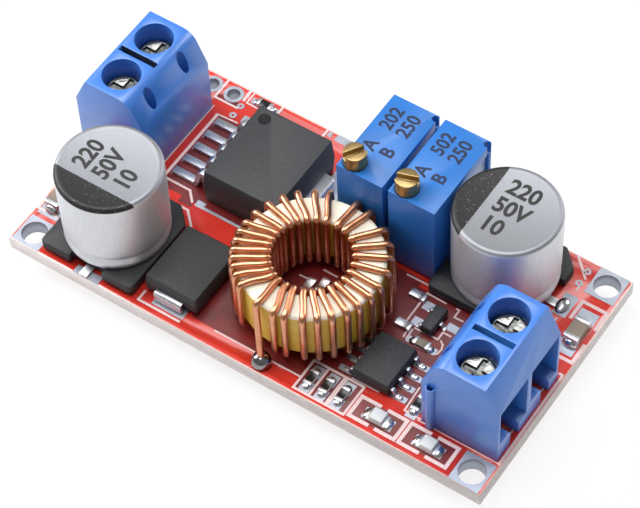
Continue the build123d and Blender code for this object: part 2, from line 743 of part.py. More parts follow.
def make_trimmer(side, spot):
    """A sealed box with a lead screw that carries the wiper along a flat element."""
    base = seat(spot)
    low = trimmer_standoff
    half_x = trimmer_width / 2
    half_y = trimmer_length / 2
    inner_x = half_x - trimmer_wall
    inner_y = half_y - trimmer_wall
    pocket_low = low + trimmer_floor
    pocket_high = trimmer_top - trimmer_roof
    panel_x = half_x - trimmer_panel_depth
    panel_y = inner_y - trimmer_panel_length / 2

    with BuildPart() as housing:
        with BuildSketch(base.offset(low)):
            Rectangle(trimmer_width, trimmer_length)
        extrude(amount=trimmer_top - low)
        with BuildSketch(base.offset(low)):
            Rectangle(2 * inner_x, 2 * inner_y)
        extrude(amount=pocket_high - low, mode=Mode.SUBTRACT)
        with BuildSketch(base.offset(pocket_low)):
            with Locations((half_x - trimmer_wall, panel_y)):
                Rectangle(2 * trimmer_wall, trimmer_panel_length)
        extrude(amount=pocket_high - pocket_low, mode=Mode.SUBTRACT)
        with BuildSketch(base.offset(trimmer_top)):
            with Locations((panel_x + trimmer_notch_d / 4, inner_y)):
                Circle(trimmer_notch_d / 2)
        extrude(amount=-trimmer_notch_depth, mode=Mode.SUBTRACT)
        with BuildSketch(base.offset(trimmer_top)):
            with Locations(adjuster_offset):
                Circle(adjuster_d / 2 + adjuster_clearance)
        extrude(amount=-adjuster_seat_depth, mode=Mode.SUBTRACT)
        with BuildSketch(base.offset(trimmer_top)):
            with Locations(adjuster_offset):
                Circle(adjuster_rod_d / 2 + adjuster_clearance)
        extrude(amount=-trimmer_roof, mode=Mode.SUBTRACT)
        with BuildSketch(base):
            feet = [(x * (half_x - 0.4), y * (half_y - 0.4)) for x in (-1, 1) for y in (-1, 1)]
            with Locations(*feet):
                Circle(trimmer_wall / 2)
        extrude(amount=low)
    save(housing, f"{side}_trimmer_housing")

    with BuildPart() as panel:
        with BuildSketch(base.offset(pocket_low)):
            with Locations((panel_x - trimmer_wall / 2, panel_y)):
                Rectangle(trimmer_wall, trimmer_panel_length)
        extrude(amount=pocket_high - pocket_low)
    save(panel, f"{side}_trimmer_panel")

    with BuildPart() as floor:
        with BuildSketch(base.offset(low)):
            Rectangle(2 * inner_x, 2 * inner_y)
            with Locations(*trimmer_pin_offsets):
                Circle(trimmer_pin_d / 2, mode=Mode.SUBTRACT)
        extrude(amount=trimmer_floor)
    save(floor, f"{side}_trimmer_seal")

    with BuildPart() as pins:
        with BuildSketch(base.offset(pocket_low)):
            with Locations(*trimmer_pin_offsets):
                Circle(trimmer_pin_d / 2)
        extrude(amount=-pocket_low - pin_length)
    save(pins, f"{side}_trimmer_pins")

    with BuildPart() as element:
        with BuildSketch(base.offset(pocket_low)):
            with Locations((element_offset, 0)):
                Rectangle(element_thickness, 2 * inner_y)
        extrude(amount=pocket_high - pocket_low)
    save(element, f"{side}_trimmer_element")

    collar_z = pocket_high - running_gap - adjuster_collar_height
    middle = (pocket_low + collar_z - carriage_height) / 2
    carriage_left = -inner_x + carriage_side_gap
    carriage_right = element_offset - element_thickness / 2 - running_gap
    carriage_near = -inner_y + carriage_side_gap
    with BuildPart() as carriage:
        with BuildSketch(base.offset(middle)):
            with Locations(((carriage_left + carriage_right) / 2, carriage_near + carriage_width / 2)):
                Rectangle(carriage_right - carriage_left, carriage_width)
            with Locations(adjuster_offset):
                Circle(adjuster_rod_d / 2 + adjuster_clearance, mode=Mode.SUBTRACT)
        extrude(amount=carriage_height)
    save(carriage, f"{side}_trimmer_carriage")

    head_z = trimmer_top - adjuster_seat_depth + running_gap
    with BuildPart() as adjuster:
        with BuildSketch(base.offset(pocket_low + running_gap)):
            with Locations(adjuster_offset):
                Circle(adjuster_rod_d / 2)
        extrude(amount=head_z - pocket_low - running_gap)
        with BuildSketch(base.offset(collar_z)):
            with Locations(adjuster_offset):
                Circle(adjuster_collar_d / 2)
        extrude(amount=adjuster_collar_height)
        with BuildSketch(base.offset(head_z)):
            with Locations(adjuster_offset):
                Circle(adjuster_d / 2)
        extrude(amount=trimmer_top + adjuster_proud - head_z)
        with BuildSketch(base.offset(trimmer_top + adjuster_proud)):
            with Locations(adjuster_offset):
                Rectangle(adjuster_d, adjuster_slot)
        extrude(amount=-adjuster_slot_depth, mode=Mode.SUBTRACT)
    save(adjuster, f"{side}_trimmer_screw")


def make_small_packages():
    base = seat(opamp_spot)
    levels = (small_body_bottom, opamp_top / 2, opamp_top)
    make_moulded_body("opamp_body", base, opamp_size, levels, small_body_draft)
    leads = make_gull_leads(
        base,
        opamp_lead_pitch,
        ((-1, 4), (1, 4)),
        *opamp_lead_section,
        opamp_size[0] / 2,
        opamp_top / 2,
        opamp_lead_out,
        opamp_lead_reach,
    )
    save(leads, "opamp_leads")

    base = seat(reference_spot)
    levels = (small_body_bottom, reference_top / 2, reference_top)
    make_moulded_body("reference_body", base, reference_size, levels, small_body_draft)
    leads = make_gull_leads(
        base,
        reference_lead_pitch,
        ((-1, 2), (1, 1)),
        *reference_lead_section,
        reference_size[0] / 2,
        reference_top / 2,
        reference_lead_out,
        reference_lead_reach,
    )
    save(leads, "reference_leads")


def make_chip(label, spots, turn, size, cap):
    """Small ceramic chips, each a bar whose metal ends stand a hair proud."""
    length, width, height = size
    with BuildPart() as chip:
        for spot in spots:
            base = seat(spot, turn)
            with BuildSketch(base):
                with Locations((cap / 2 - length / 2, 0), (length / 2 - cap / 2, 0)):
                    Rectangle(cap, width)
            extrude(amount=height)
            with BuildSketch(base.offset(chip_cap_lip)):
                Rectangle(length - cap, width - 2 * chip_cap_lip)
            extrude(amount=height - 2 * chip_cap_lip)
    save(chip, label)


def make_leds():
    length, width, height = led_size
    for number, spot in enumerate(led_spots, start=1):
        base = seat(spot)
        with BuildPart() as led:
            with BuildSketch(base):
                Rectangle(length, width)
            extrude(amount=height * 0.4)
            with BuildSketch(base.offset(height * 0.4)):
                Rectangle(length * 0.68, width)
            extrude(amount=height * 0.6, taper=4)
        save(led, f"indicator_led_{number}")


def make_shunt():
    length, width, height = shunt_size
    with BuildPart() as shunt:
        with BuildSketch(Plane(origin=(board_shift + shunt_spot[0], shunt_spot[1], board_under_z))):
            Rectangle(length, width)
        extrude(amount=-height)
        chamfer(shunt.faces().sort_by(Axis.Z)[0].edges().filter_by(Axis.Y), height / 4)
    save(shunt, "current_shunt")


def make_solder():
    """Cones round the pins under the board, and the dome at the start of the winding."""
    under = Plane(origin=(board_shift, 0, board_under_z), z_dir=(0, 0, 1))
    joints = (
        (terminal_pin_spots, terminal_pin_d, terminal_cone),
        (trimmer_pin_spots, trimmer_pin_d, trimmer_cone),
        (wire_spots, wire_d, wire_cone),
    )
    with BuildPart() as cones:
        for spots, pin_d, (foot_r, neck_r, height) in joints:
            for x, y in spots:
                with BuildSketch(under):
                    with Locations((x, y)):
                        RegularPolygon(foot_r, 12)
                with BuildSketch(under.offset(-height)):
                    with Locations((x, y)):
                        RegularPolygon(neck_r, 12)
                loft()
            with BuildSketch(under):
                with Locations(*spots):
                    Circle(pin_d / 2 + solder_fit)
            extrude(amount=-pin_drop, mode=Mode.SUBTRACT)
    save(cones, "solder_joints_under")

    base = seat(wire_start_spot)
    with BuildPart() as dome:
        with BuildSketch(side_of(base)):
            with BuildLine():
                foot = (wire_dome_d / 2, 0)
                crown = (wire_d / 2 + solder_fit, wire_dome_height)
                Polyline(foot, (wire_dome_d * 0.4, wire_dome_height * 0.72), crown, (crown[0], 0), close=True)
            make_face()
        revolve(axis=Axis(base.origin, (0, 0, 1)))
    save(dome, "solder_dome_top")


make_board()
make_terminal_blocks()
make_capacitor("input", input_capacitor_spot, 90)
make_capacitor("output", output_capacitor_spot, 0)
make_regulator()
make_diode()
make_inductor()
for side, spot in trimmers.items():
    make_trimmer(side, spot)
make_small_packages()
for number, spot in enumerate(resistor_spots, start=1):
    make_chip(f"chip_resistor_{number}", [spot], 90, chip_size, chip_cap_length)
make_chip("edge_resistor", [edge_resistor_spot], 0, chip_size, chip_cap_length)
make_chip("sense_resistor", [sense_chip_spot], 90, chip_size, chip_cap_length)
make_chip("filter_ceramic", [filter_ceramic_spot], 90, ceramic_size, ceramic_cap_length)
make_chip("input_ceramic", [input_ceramic_spot], 90, ceramic_size, ceramic_cap_length)
make_chip("small_ceramic", [small_ceramic_spot], 0, chip_size, chip_cap_length)
make_chip("feedback_chips", feedback_chip_spots, 0, chip_size, chip_cap_length)
make_chip("chips_in_bore", hidden_chip_spots, 90, chip_size, chip_cap_length)
make_leds()
make_shunt()
make_solder()
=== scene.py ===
# %% [markdown]
# # Dressing a small step-down converter module
# A red circuit board carries two screw terminal blocks, two can capacitors, a moulded
# regulator, a diode, a wound ring inductor, two trimmers and a row of small chips. The
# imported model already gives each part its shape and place. This lesson adds what a plain
# solid leaves out: round wire, soft edges, solder, print, and the finish of each material.

import json
import random
from math import atan2, cos, pi, radians, sin

import bmesh
import bpy
from mathutils import Matrix, Vector


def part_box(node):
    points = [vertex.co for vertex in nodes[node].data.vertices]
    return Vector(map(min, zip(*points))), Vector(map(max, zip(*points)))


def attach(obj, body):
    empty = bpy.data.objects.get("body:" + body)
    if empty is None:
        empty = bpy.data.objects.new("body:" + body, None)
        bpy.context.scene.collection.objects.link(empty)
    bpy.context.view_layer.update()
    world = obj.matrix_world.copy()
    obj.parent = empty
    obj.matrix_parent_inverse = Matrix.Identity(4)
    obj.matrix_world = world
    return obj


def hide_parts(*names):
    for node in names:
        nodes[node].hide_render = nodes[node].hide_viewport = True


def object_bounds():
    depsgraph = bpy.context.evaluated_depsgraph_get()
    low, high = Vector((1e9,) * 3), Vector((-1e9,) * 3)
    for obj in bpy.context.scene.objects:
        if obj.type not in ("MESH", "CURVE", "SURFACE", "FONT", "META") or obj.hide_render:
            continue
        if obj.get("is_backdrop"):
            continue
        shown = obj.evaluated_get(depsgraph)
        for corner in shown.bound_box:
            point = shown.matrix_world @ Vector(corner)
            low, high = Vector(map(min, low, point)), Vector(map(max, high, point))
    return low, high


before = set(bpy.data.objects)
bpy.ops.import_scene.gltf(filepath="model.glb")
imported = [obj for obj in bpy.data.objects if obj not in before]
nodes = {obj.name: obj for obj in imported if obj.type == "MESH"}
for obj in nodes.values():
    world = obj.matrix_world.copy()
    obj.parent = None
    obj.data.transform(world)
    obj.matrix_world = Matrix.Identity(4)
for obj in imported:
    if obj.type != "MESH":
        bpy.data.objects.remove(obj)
cad_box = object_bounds()
print("parts in the model:", len(nodes))

# %% [markdown]
# ## Measure from the board
# A maker measures a circuit board from its own middle, in millimetres. One matrix turns
# such a place into the model's metres, so every new piece can be shaped in millimetres
# around the middle of the board's top face and sent to its place in one step.

# %% Board coordinates
MM = 0.001
board_low, board_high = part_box("circuit_board")
board_mid = (board_low + board_high) / 2
to_frame = Matrix.Translation((board_mid.x, board_mid.y, board_high.z)) @ Matrix.Scale(MM, 4)
to_board = to_frame.inverted()
half_length, half_width = [
    (high - low) / MM / 2 for low, high in zip(board_low[:2], board_high[:2])
]
board_under = (to_board @ board_low).z
print("board in mm:", round(2 * half_length, 2), "by", round(2 * half_width, 2))


def measure(node):
    """Lowest corner, highest corner and middle of a part, in millimetres on the board."""
    low, high = [to_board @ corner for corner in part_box(node)]
    return low, high, (low + high) / 2


# %% [markdown]
# ## A piece from a new shape
# Some pieces are new shapes, grown from a few bmesh operators. They all end in the same way:
# the shape is sent to its place, corners that meet are merged, its faces are turned outwards,
# and it gets its finishes and the body that it rides on. One function does that for all.

# %% Make a piece from a bmesh
CLOSE_NEW = 2e-7  # metres within which two corners of a new shape are one corner


def make_piece(
    name, shape, finishes, body="circuit", stands_for=(), sharp=35, place=to_frame, all_smooth=True
):
    """Ends a shape as a piece. Edges that bend by more than sharp degrees stay sharp."""
    bmesh.ops.transform(shape, matrix=place, verts=shape.verts)
    bmesh.ops.remove_doubles(shape, verts=shape.verts, dist=CLOSE_NEW)
    bmesh.ops.recalc_face_normals(shape, faces=shape.faces)
    mesh = bpy.data.meshes.new(name)
    shape.to_mesh(mesh)
    shape.free()
    if all_smooth:
        mesh.shade_smooth()
    mesh.set_sharp_from_angle(angle=radians(sharp))
    for finish in finishes:
        mesh.materials.append(finish.material)
    piece = bpy.data.objects.new(name, mesh)
    bpy.context.scene.collection.objects.link(piece)
    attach(piece, body)
    if stands_for:
        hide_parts(*stands_for)
    print(f"{name}: {len(mesh.polygons)} faces")
    return piece


# %% [markdown]
# ## A softened copy of a part
# Other parts are already right and only need softer edges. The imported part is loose
# triangles, so a copy of it is merged and its flat faces are joined again, and then the bevel
# operator rounds what is sharp. A Bevel modifier would do that too, but it leaves a shadow
# across large flat faces. Here they keep flat shading, and only the new strips catch the thin
# highlight that makes a moulded or stamped part look solid.

# %% Soften a copy of a part
CLOSE_PACKED = 1e-6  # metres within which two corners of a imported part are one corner
FLAT = radians(1)
SLIGHT_BEND = radians(0.5)
SMALL_FACE = 3 * MM * MM  # a curved wall is made of faces below this size
STRIP_FACE = MM * MM  # a strip that the bevel adds is below this size


def merged_copy(node):
    shape = bmesh.new()
    shape.from_mesh(nodes[node].data)
    bmesh.ops.remove_doubles(shape, verts=shape.verts, dist=CLOSE_PACKED)
    bmesh.ops.dissolve_limit(shape, angle_limit=FLAT, verts=shape.verts, edges=shape.edges)
    return shape


def soften(node, finishes, edge=0.1, body="circuit", segments=2, angle=32, choose=None, turn=0.0):
    """A rounded copy of a part, turned about its own upright axis if that is asked for.

    The function choose takes a face's middle and direction and gives the number of its finish.
    """
    shape = merged_copy(node)
    if turn:
        low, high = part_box(node)
        spin = Matrix.Rotation(radians(turn), 3, "Z")
        bmesh.ops.rotate(shape, cent=(low + high) / 2, matrix=spin, verts=shape.verts)
    limit = radians(angle)
    for face in shape.faces:
        if choose:
            face.material_index = choose(to_board @ face.calc_center_median(), face.normal)
        bends = [e.calc_face_angle(0) for e in face.edges if len(e.link_faces) == 2]
        small = face.calc_area() < SMALL_FACE
        face.smooth = small and any(SLIGHT_BEND < bend < limit for bend in bends)
    hard = [e for e in shape.edges if len(e.link_faces) == 2 and e.calc_face_angle(0) > limit]
    rounded = bmesh.ops.bevel(
        shape,
        geom=hard,
        offset=edge * MM,
        segments=segments,
        profile=0.5,
        affect="EDGES",
        clamp_overlap=True,
        material=-1,
    )
    for face in rounded["faces"]:
        face.smooth = face.calc_area() < STRIP_FACE
    here = Matrix.Identity(4)
    return make_piece(f"{node}_softened", shape, finishes, body, [node], 60, here, False)


# %% [markdown]
# ## Small shapes that come back again and again
# Print, pads and solder are flat bars, discs and turned shapes. Each helper adds one closed
# shape to a bmesh, so a whole layer of print becomes one piece.

# %% Bars, discs and turned shapes
STEP_UP = 0.001  # how much higher each bar of a line stands than the one before


def bar(shape, start, end, width, low, high):
    """A flat bar from point to point on the board, with square ends half a width longer."""
    run = Vector(end) - Vector(start)
    made = bmesh.ops.create_cube(shape, size=1)["verts"]
    bmesh.ops.scale(shape, vec=(run.length + width, width, high - low), verts=made)
    bmesh.ops.rotate(shape, matrix=Matrix.Rotation(atan2(run.y, run.x), 3, "Z"), verts=made)
    middle = (Vector(start) + Vector(end)) / 2
    bmesh.ops.translate(shape, vec=(middle.x, middle.y, (low + high) / 2), verts=made)


def line(shape, points, width, low, high):
    """Bars from point to point, each a hair higher than the last so that no tops coincide."""
    for i, (start, end) in enumerate(zip(points, points[1:])):
        bar(shape, start, end, width, low, high + STEP_UP * i)


def plate(shape, x0, x1, y0, y1, low, high):
    """A flat plate between two places along the board and two across it."""
    made = bmesh.ops.create_cube(shape, size=1)["verts"]
    bmesh.ops.scale(shape, vec=(x1 - x0, y1 - y0, high - low), verts=made)
    bmesh.ops.translate(shape, vec=((x0 + x1) / 2, (y0 + y1) / 2, (low + high) / 2), verts=made)


def turned(shape, profile, spot, steps):
    """Turns a profile of (radius, height) points about an upright axis at a spot."""
    points = [shape.verts.new((spot[0] + r, spot[1], z)) for r, z in profile]
    edges = [shape.edges.new(pair) for pair in zip(points, points[1:])]
    bmesh.ops.spin(
        shape,
        geom=points + edges,
        cent=(spot[0], spot[1], 0),
        axis=(0, 0, 1),
        angle=2 * pi,
        steps=steps,
        use_merge=True,
    )


def disc(shape, spot, radius, low, high, steps=32):
    turned(shape, [(0, low), (radius, low), (radius, high), (0, high)], spot, steps)


def ring(shape, spot, inner, outer, low, high, steps=32):
    corners = [(inner, low), (outer, low), (outer, high), (inner, high), (inner, low)]
    turned(shape, corners, spot, steps)


def drop(shape, spot, size, height, sink=0.3):
    """A rounded drop of solder, part of it below the surface that it sits on."""
    made = bmesh.ops.create_uvsphere(shape, u_segments=20, v_segments=12, radius=1)["verts"]
    bmesh.ops.scale(shape, vec=(size[0] / 2, size[1] / 2, height), verts=made)
    for point in made:
        point.co.z = max(point.co.z, -sink * height)
    bmesh.ops.translate(shape, vec=spot, verts=made)


# %% [markdown]
# ## Shader sums written as plain sums
# A material is a small tree of nodes. Writing each Math node by hand hides the idea, so a
# small class wraps a socket and lets sums such as 1 - mask add their own nodes. Another
# class holds a material while it is made. Its patterns read the object's own coordinates,
# brought to millimetres from the middle of the board.

# %% Sockets that can be summed


class Value:
    def __init__(self, finish, socket):
        self.finish, self.socket = finish, socket

    def maths(self, operation, *inputs):
        return self.finish.node("ShaderNodeMath", {"operation": operation}, dict(enumerate(inputs)))

    def __add__(self, other):
        return self.maths("ADD", self, other)

    def __radd__(self, other):
        return self.maths("ADD", other, self)

    def __sub__(self, other):
        return self.maths("SUBTRACT", self, other)

    def __rsub__(self, other):
        return self.maths("SUBTRACT", other, self)

    def __mul__(self, other):
        return self.maths("MULTIPLY", self, other)

    def __rmul__(self, other):
        return self.maths("MULTIPLY", other, self)

    def __abs__(self):
        return self.maths("ABSOLUTE", self)

    def least(self, other):
        return self.maths("MINIMUM", self, other)

    def most(self, other):
        return self.maths("MAXIMUM", self, other)

    def over(self, limit, soft=0.02):
        """0 below the limit and 1 above it, with a soft step between."""
        ends = {0: self, 1: limit - soft, 2: limit + soft}
        curve = {"interpolation_type": "SMOOTHSTEP"}
        return self.finish.node("ShaderNodeMapRange", curve, ends)


def linear(code):
    """A colour code such as 3F7FD8 as the linear values that a shader uses."""
    parts = [int(code[i : i + 2], 16) / 255 for i in (0, 2, 4)]
    return (*[c / 12.92 if c <= 0.04045 else ((c + 0.055) / 1.055) ** 2.4 for c in parts], 1)


class Finish:
    def __init__(self, name, **shader):
        self.material = bpy.data.materials.new(name)
        self.material.use_nodes = True
        self.tree = self.material.node_tree
        self.shader = self.tree.nodes["Principled BSDF"]
        place = self.node("ShaderNodeTexCoord", out="Object")
        middle = -Vector((board_mid.x, board_mid.y, board_high.z)) / MM
        per_mm = (1 / MM, 1 / MM, 1 / MM)
        self.spot = self.node("ShaderNodeMapping", {}, {0: place, 1: middle, 3: per_mm})
        split = self.node("ShaderNodeSeparateXYZ", {}, {0: self.spot})
        self.x, self.y, self.z = [Value(self, socket) for socket in split.socket.node.outputs]
        self.set(**shader)

    def node(self, kind, settings=None, values=None, out=0):
        """Adds a node: first its settings, then the values or links of its sockets."""
        made = self.tree.nodes.new(kind)
        for key, value in (settings or {}).items():
            setattr(made, key, value)
        for key, value in (values or {}).items():
            self.feed(made.inputs[key], value)
        return Value(self, made.outputs[out])

    def feed(self, socket, value):
        """Gives a socket a link, a colour code or a plain value."""
        if isinstance(value, Value):
            self.tree.links.new(value.socket, socket)
        elif isinstance(value, str):
            socket.default_value = linear(value)
        else:
            socket.default_value = value

    def set(self, **shader):
        """Sets sockets of the main shader by name, such as base_color or coat_weight."""
        for key, value in shader.items():
            self.feed(self.shader.inputs[key.replace("_", " ").title()], value)
        return self

    def mix(self, factor, a, b):
        return self.node("ShaderNodeMix", {"data_type": "RGBA"}, {0: factor, 6: a, 7: b}, out=2)

    def noise(self, size, detail=3.0, stretch=(1, 1, 1)):
        """Soft noise whose grains are about size millimetres across."""
        at = self.spot
        if stretch != (1, 1, 1):
            at = self.node("ShaderNodeMapping", {}, {0: self.spot, 3: stretch})
        values = {"Vector": at, "Scale": 1 / size, "Detail": detail}
        return self.node("ShaderNodeTexNoise", {}, values)

    def bump(self, height, deep):
        """Raises the surface by a pattern, deep millimetres at most."""
        values = {"Height": height, "Distance": deep * MM, "Strength": 1.0}
        self.set(normal=self.node("ShaderNodeBump", {}, values))
        return self


# %% [markdown]
# ## The finishes of the board
# Each finish starts from one main colour and gets what the real surface shows. The red mask
# has the orange-peel of printed lacquer and thins out at the rim, the cut laminate shows its
# layers of glass, and tin and solder are cloudy metal. Grain sizes are in millimetres.

# %% Board finishes
solder_mask = Finish("solder_mask", roughness=0.32, coat_weight=0.25, coat_roughness=0.12)
rim = (half_length - abs(solder_mask.x)).least(half_width - abs(solder_mask.y))
covered = (rim + solder_mask.noise(0.5) * 0.12).over(0.2, 0.06)
tone = solder_mask.noise(2.5, 2).over(0.5, 0.35)
red = solder_mask.mix(tone, "BE2A20", "CE382C")
solder_mask.set(base_color=solder_mask.mix(covered, "CDA79C", red))
solder_mask.bump(solder_mask.noise(0.35), 0.004)

laminate_mask_and_shade = Finish("laminate_mask_and_shade", roughness=0.35, coat_weight=0.2)
tone = laminate_mask_and_shade.noise(1.6).over(0.5, 0.3)
laminate_mask_and_shade.set(base_color=laminate_mask_and_shade.mix(tone, "5F1214", "7A1C1B"))
laminate_mask_and_shade.bump(laminate_mask_and_shade.noise(0.3), 0.004)

laminate = Finish("laminate_edge", roughness=0.75)
weave = laminate.noise(0.12, 2, (0.25, 0.25, 3)) * 0.6 + laminate.noise(0.6) * 0.4
laminate.set(base_color=laminate.mix(weave, "B5ACAB", "E9E2E0"))
laminate.bump(weave, 0.05)

print_white = Finish("print_white", roughness=0.6)
print_white.set(base_color=print_white.mix(print_white.noise(0.25, 4), "CBA9A9", "E6D3D2"))
print_white.bump(print_white.noise(0.12), 0.006)

tinned_pad = Finish("tinned_pad", metallic=1.0)
cloud = tinned_pad.noise(1.4, 4)
tinned_pad.set(base_color=tinned_pad.mix(cloud, "8F95A1", "B9BEC8"))
tinned_pad.set(roughness=0.4 + cloud * 0.2)
tinned_pad.bump(tinned_pad.noise(0.7), 0.012)

solder_bright = Finish("solder_bright", metallic=1.0)
cloud = solder_bright.noise(0.5, 3)
solder_bright.set(base_color=solder_bright.mix(cloud, "A3A5A8", "E4E5E6"))
solder_bright.set(roughness=0.12 + cloud * 0.2)
solder_bright.bump(solder_bright.noise(0.45), 0.05)
print("finishes of the board:", len(bpy.data.materials))

# %% [markdown]
# ## Plastics
# A moulding is never one even colour, because pigment and flow leave two near tones. One
# function mixes them with soft noise and adds the grain of the mould. The packages of the
# chips are black epoxy filled with fine glass, so theirs has pale flecks instead.

# %% Moulded plastics


def moulded(name, dark, light, roughness, grain, deep):
    """A moulded plastic: two near tones that mix over a few millimetres, and a fine grain."""
    made = Finish(name)
    cloud = made.noise(3.0, 3)
    made.set(base_color=made.mix(cloud, dark, light), roughness=roughness + made.noise(1.0) * 0.1)
    return made.bump(made.noise(grain, 2), deep)


block_blue = moulded("block_blue", "2F6ABF", "3B7ACE", 0.36, 0.15, 0.004)
block_blue.set(coat_weight=0.7, coat_roughness=0.3)
trimmer_blue = moulded("trimmer_blue", "2364AE", "2D74C2", 0.32, 0.2, 0.004)
base_black = moulded("base_black", "1B1C1E", "26272A", 0.5, 0.12, 0.008)
pale_resin = moulded("pale_resin", "8F9AC0", "B4BBD6", 0.45, 0.3, 0.02)
carriage_white = moulded("carriage_white", "CFCBBE", "DEDACE", 0.5, 0.2, 0.006)
element_ceramic = moulded("element_ceramic", "D9D6CA", "E8E5DA", 0.6, 0.1, 0.006)
# painted shade: a dark blue that stands for the shadow in the deep slot of a block's top
slot_painted_shade = moulded("slot_painted_shade", "0E1322", "161D33", 0.6, 0.2, 0.004)

mould_compound = Finish("mould_compound")
fleck = mould_compound.noise(0.11, 3)
mould_compound.set(base_color=mould_compound.mix(fleck.over(0.5, 0.16), "1D1E20", "3C3D3F"))
mould_compound.set(roughness=0.5 + fleck * 0.2)
mould_compound.bump(fleck, 0.02)
print("with the plastics:", len(bpy.data.materials))

# %% [markdown]
# ## Metals
# Bare metal shows mostly what it mirrors, so its base colour is the tint of the mirror. The
# same marks change the tint, the roughness and the bump, as they do on a real plated part.
# A can has two looks in one finish: rolled sides, and a top that carries the black mark. Its top is
# a darker copy of the same metal, which is painted shade.

# %% Metals


def metal(name, dark, light, roughness, grain, deep, stretch=(1, 1, 1)):
    """A metal with a cloudy tone, and draw marks along the axis that is stretched least."""
    made = Finish(name, metallic=1.0)
    marks = made.noise(grain, 3, stretch)
    made.set(base_color=made.mix(marks, dark, light), roughness=roughness + marks * 0.15)
    return made.bump(marks, deep)


screw_zinc = metal("screw_zinc", "8A8B85", "B4B5AE", 0.26, 0.4, 0.06)
# painted shade: the zinc in the screw's cross is the same metal, given a darker tint
zinc_recess_shade = metal("zinc_recess_shade", "4E5150", "8B8D88", 0.3, 0.4, 0.06)
clamp_plate = metal("clamp_plate", "B5B5AE", "DEDED8", 0.2, 0.3, 0.008)
tinned_lead = metal("tinned_lead", "B2B5BB", "DCDEE2", 0.3, 0.25, 0.008)
adjuster_brass = metal("adjuster_brass", "8B7549", "C2A877", 0.3, 0.2, 0.01, (1, 1, 6))
solder_glassy = metal("solder_glassy", "77757A", "A8A6A6", 0.07, 0.5, 0.02)


MARK_OUT = 2.33  # the straight edge of the black segment, from the middle of the can
MARK_DOWN = 0.42  # how far the black reaches down from the top


def can_finish(name, middle, top, mark):
    """Satin aluminium with a black segment printed on its top, towards the angle mark."""
    made = Finish(name)
    across = (made.x - middle.x) * cos(radians(mark)) + (made.y - middle.y) * sin(radians(mark))
    ragged = made.noise(0.12, 3)
    inked = (across + ragged * 0.12).over(MARK_OUT, 0.03) * made.z.over(top - MARK_DOWN, 0.03)
    specks = made.noise(0.14, 2).over(0.7, 0.02) + made.noise(0.4, 2).over(0.76, 0.02)
    inked = inked * (1 - specks.least(1))
    cloud = made.noise(0.25, 3, (1, 1, 0.2))
    side_tone = made.mix(cloud, "D2D4D9", "E6E8EC")
    # painted shade: the top is the side metal made darker
    top_shaded_tone = made.mix(cloud, "8C8E93", "9C9EA3")
    metal_tone = made.mix(made.z.over(top - 0.2, 0.12), side_tone, top_shaded_tone)
    made.set(base_color=made.mix(inked, metal_tone, "111112"), metallic=(1 - inked) * 0.85)
    made.set(roughness=0.48 + cloud * 0.08)
    return made.bump(cloud, 0.004)


copper_wire = Finish("copper_wire", metallic=1.0, coat_weight=0.4, coat_roughness=0.14)
streak = copper_wire.noise(1.2, 2)
copper_wire.set(base_color=copper_wire.mix(streak, "C07750", "E8AC86"))
copper_wire.set(roughness=0.27 + streak * 0.08)
print("with the metals:", len(bpy.data.materials))

# %% [markdown]
# ## Paint, chips and ink
# The ring under the winding is coated yellow with one white face, so its finish changes with
# height. The small chips and the inks are plain, and come from the same function as the
# plastics.

# %% Small part finishes
WHITE_FROM = 6.35  # height at which the ring's coat turns from yellow to white
core_paint = Finish("core_paint", roughness=0.38)
top = core_paint.z.over(WHITE_FROM, 0.1)
patch = core_paint.noise(1.2)
yellow = core_paint.mix(patch, "CFA834", "E6C455")
white = core_paint.mix(patch, "E4DBC0", "F7F2E4")
core_paint.set(base_color=core_paint.mix(top, yellow, white))
core_paint.bump(core_paint.noise(0.3), 0.02)

chip_black = moulded("chip_black", "141517", "1E2022", 0.2, 0.2, 0.003)
chip_white = moulded("chip_white", "C9CACB", "E2E3E4", 0.55, 0.2, 0.006)
chip_brown = moulded("chip_brown", "77695C", "8D7F71", 0.5, 0.12, 0.008)
led_resin = moulded("led_resin", "B9BBBD", "D0D2D3", 0.3, 0.3, 0.004)
ink_black = moulded("ink_black", "161616", "242424", 0.55, 0.15, 0.003)
ink_navy = moulded("ink_navy", "0C1A38", "13264C", 0.6, 0.15, 0.003)
print("all finishes:", len(bpy.data.materials))

# %% [markdown]
# ## The board
# The real board is glass laminate with copper on both faces, red mask over the copper and
# white print over the mask. Its sides are cut laminate, paler and rougher. The copy of the
# board gets its finish face by face, from the way each face points.

# %% The laminate and its mask
RIM = 0.3  # a wall this near to the outline is the cut edge, and not a hole


def board_face(centre, normal):
    """Mask on the flat faces, cut laminate round the outside, plated walls in the holes."""
    if abs(normal.z) > 0.9:
        return 0
    at_rim = min(half_length - abs(centre.x), half_width - abs(centre.y)) < RIM
    return 1 if at_rim else 2


board_finishes = [solder_mask, laminate, tinned_pad]
soften("circuit_board", board_finishes, edge=0.04, segments=1, choose=board_face)

# %% [markdown]
# Where no copper runs under the mask, the board looks dark maroon. A mask in the material
# could show that, but each window is a rectangle, so thin plates on the top face are easier
# to place and to change. The first window also reaches over ground between the regulator
# and the lands of its leads that lies in shade, so there its maroon is painted shade.

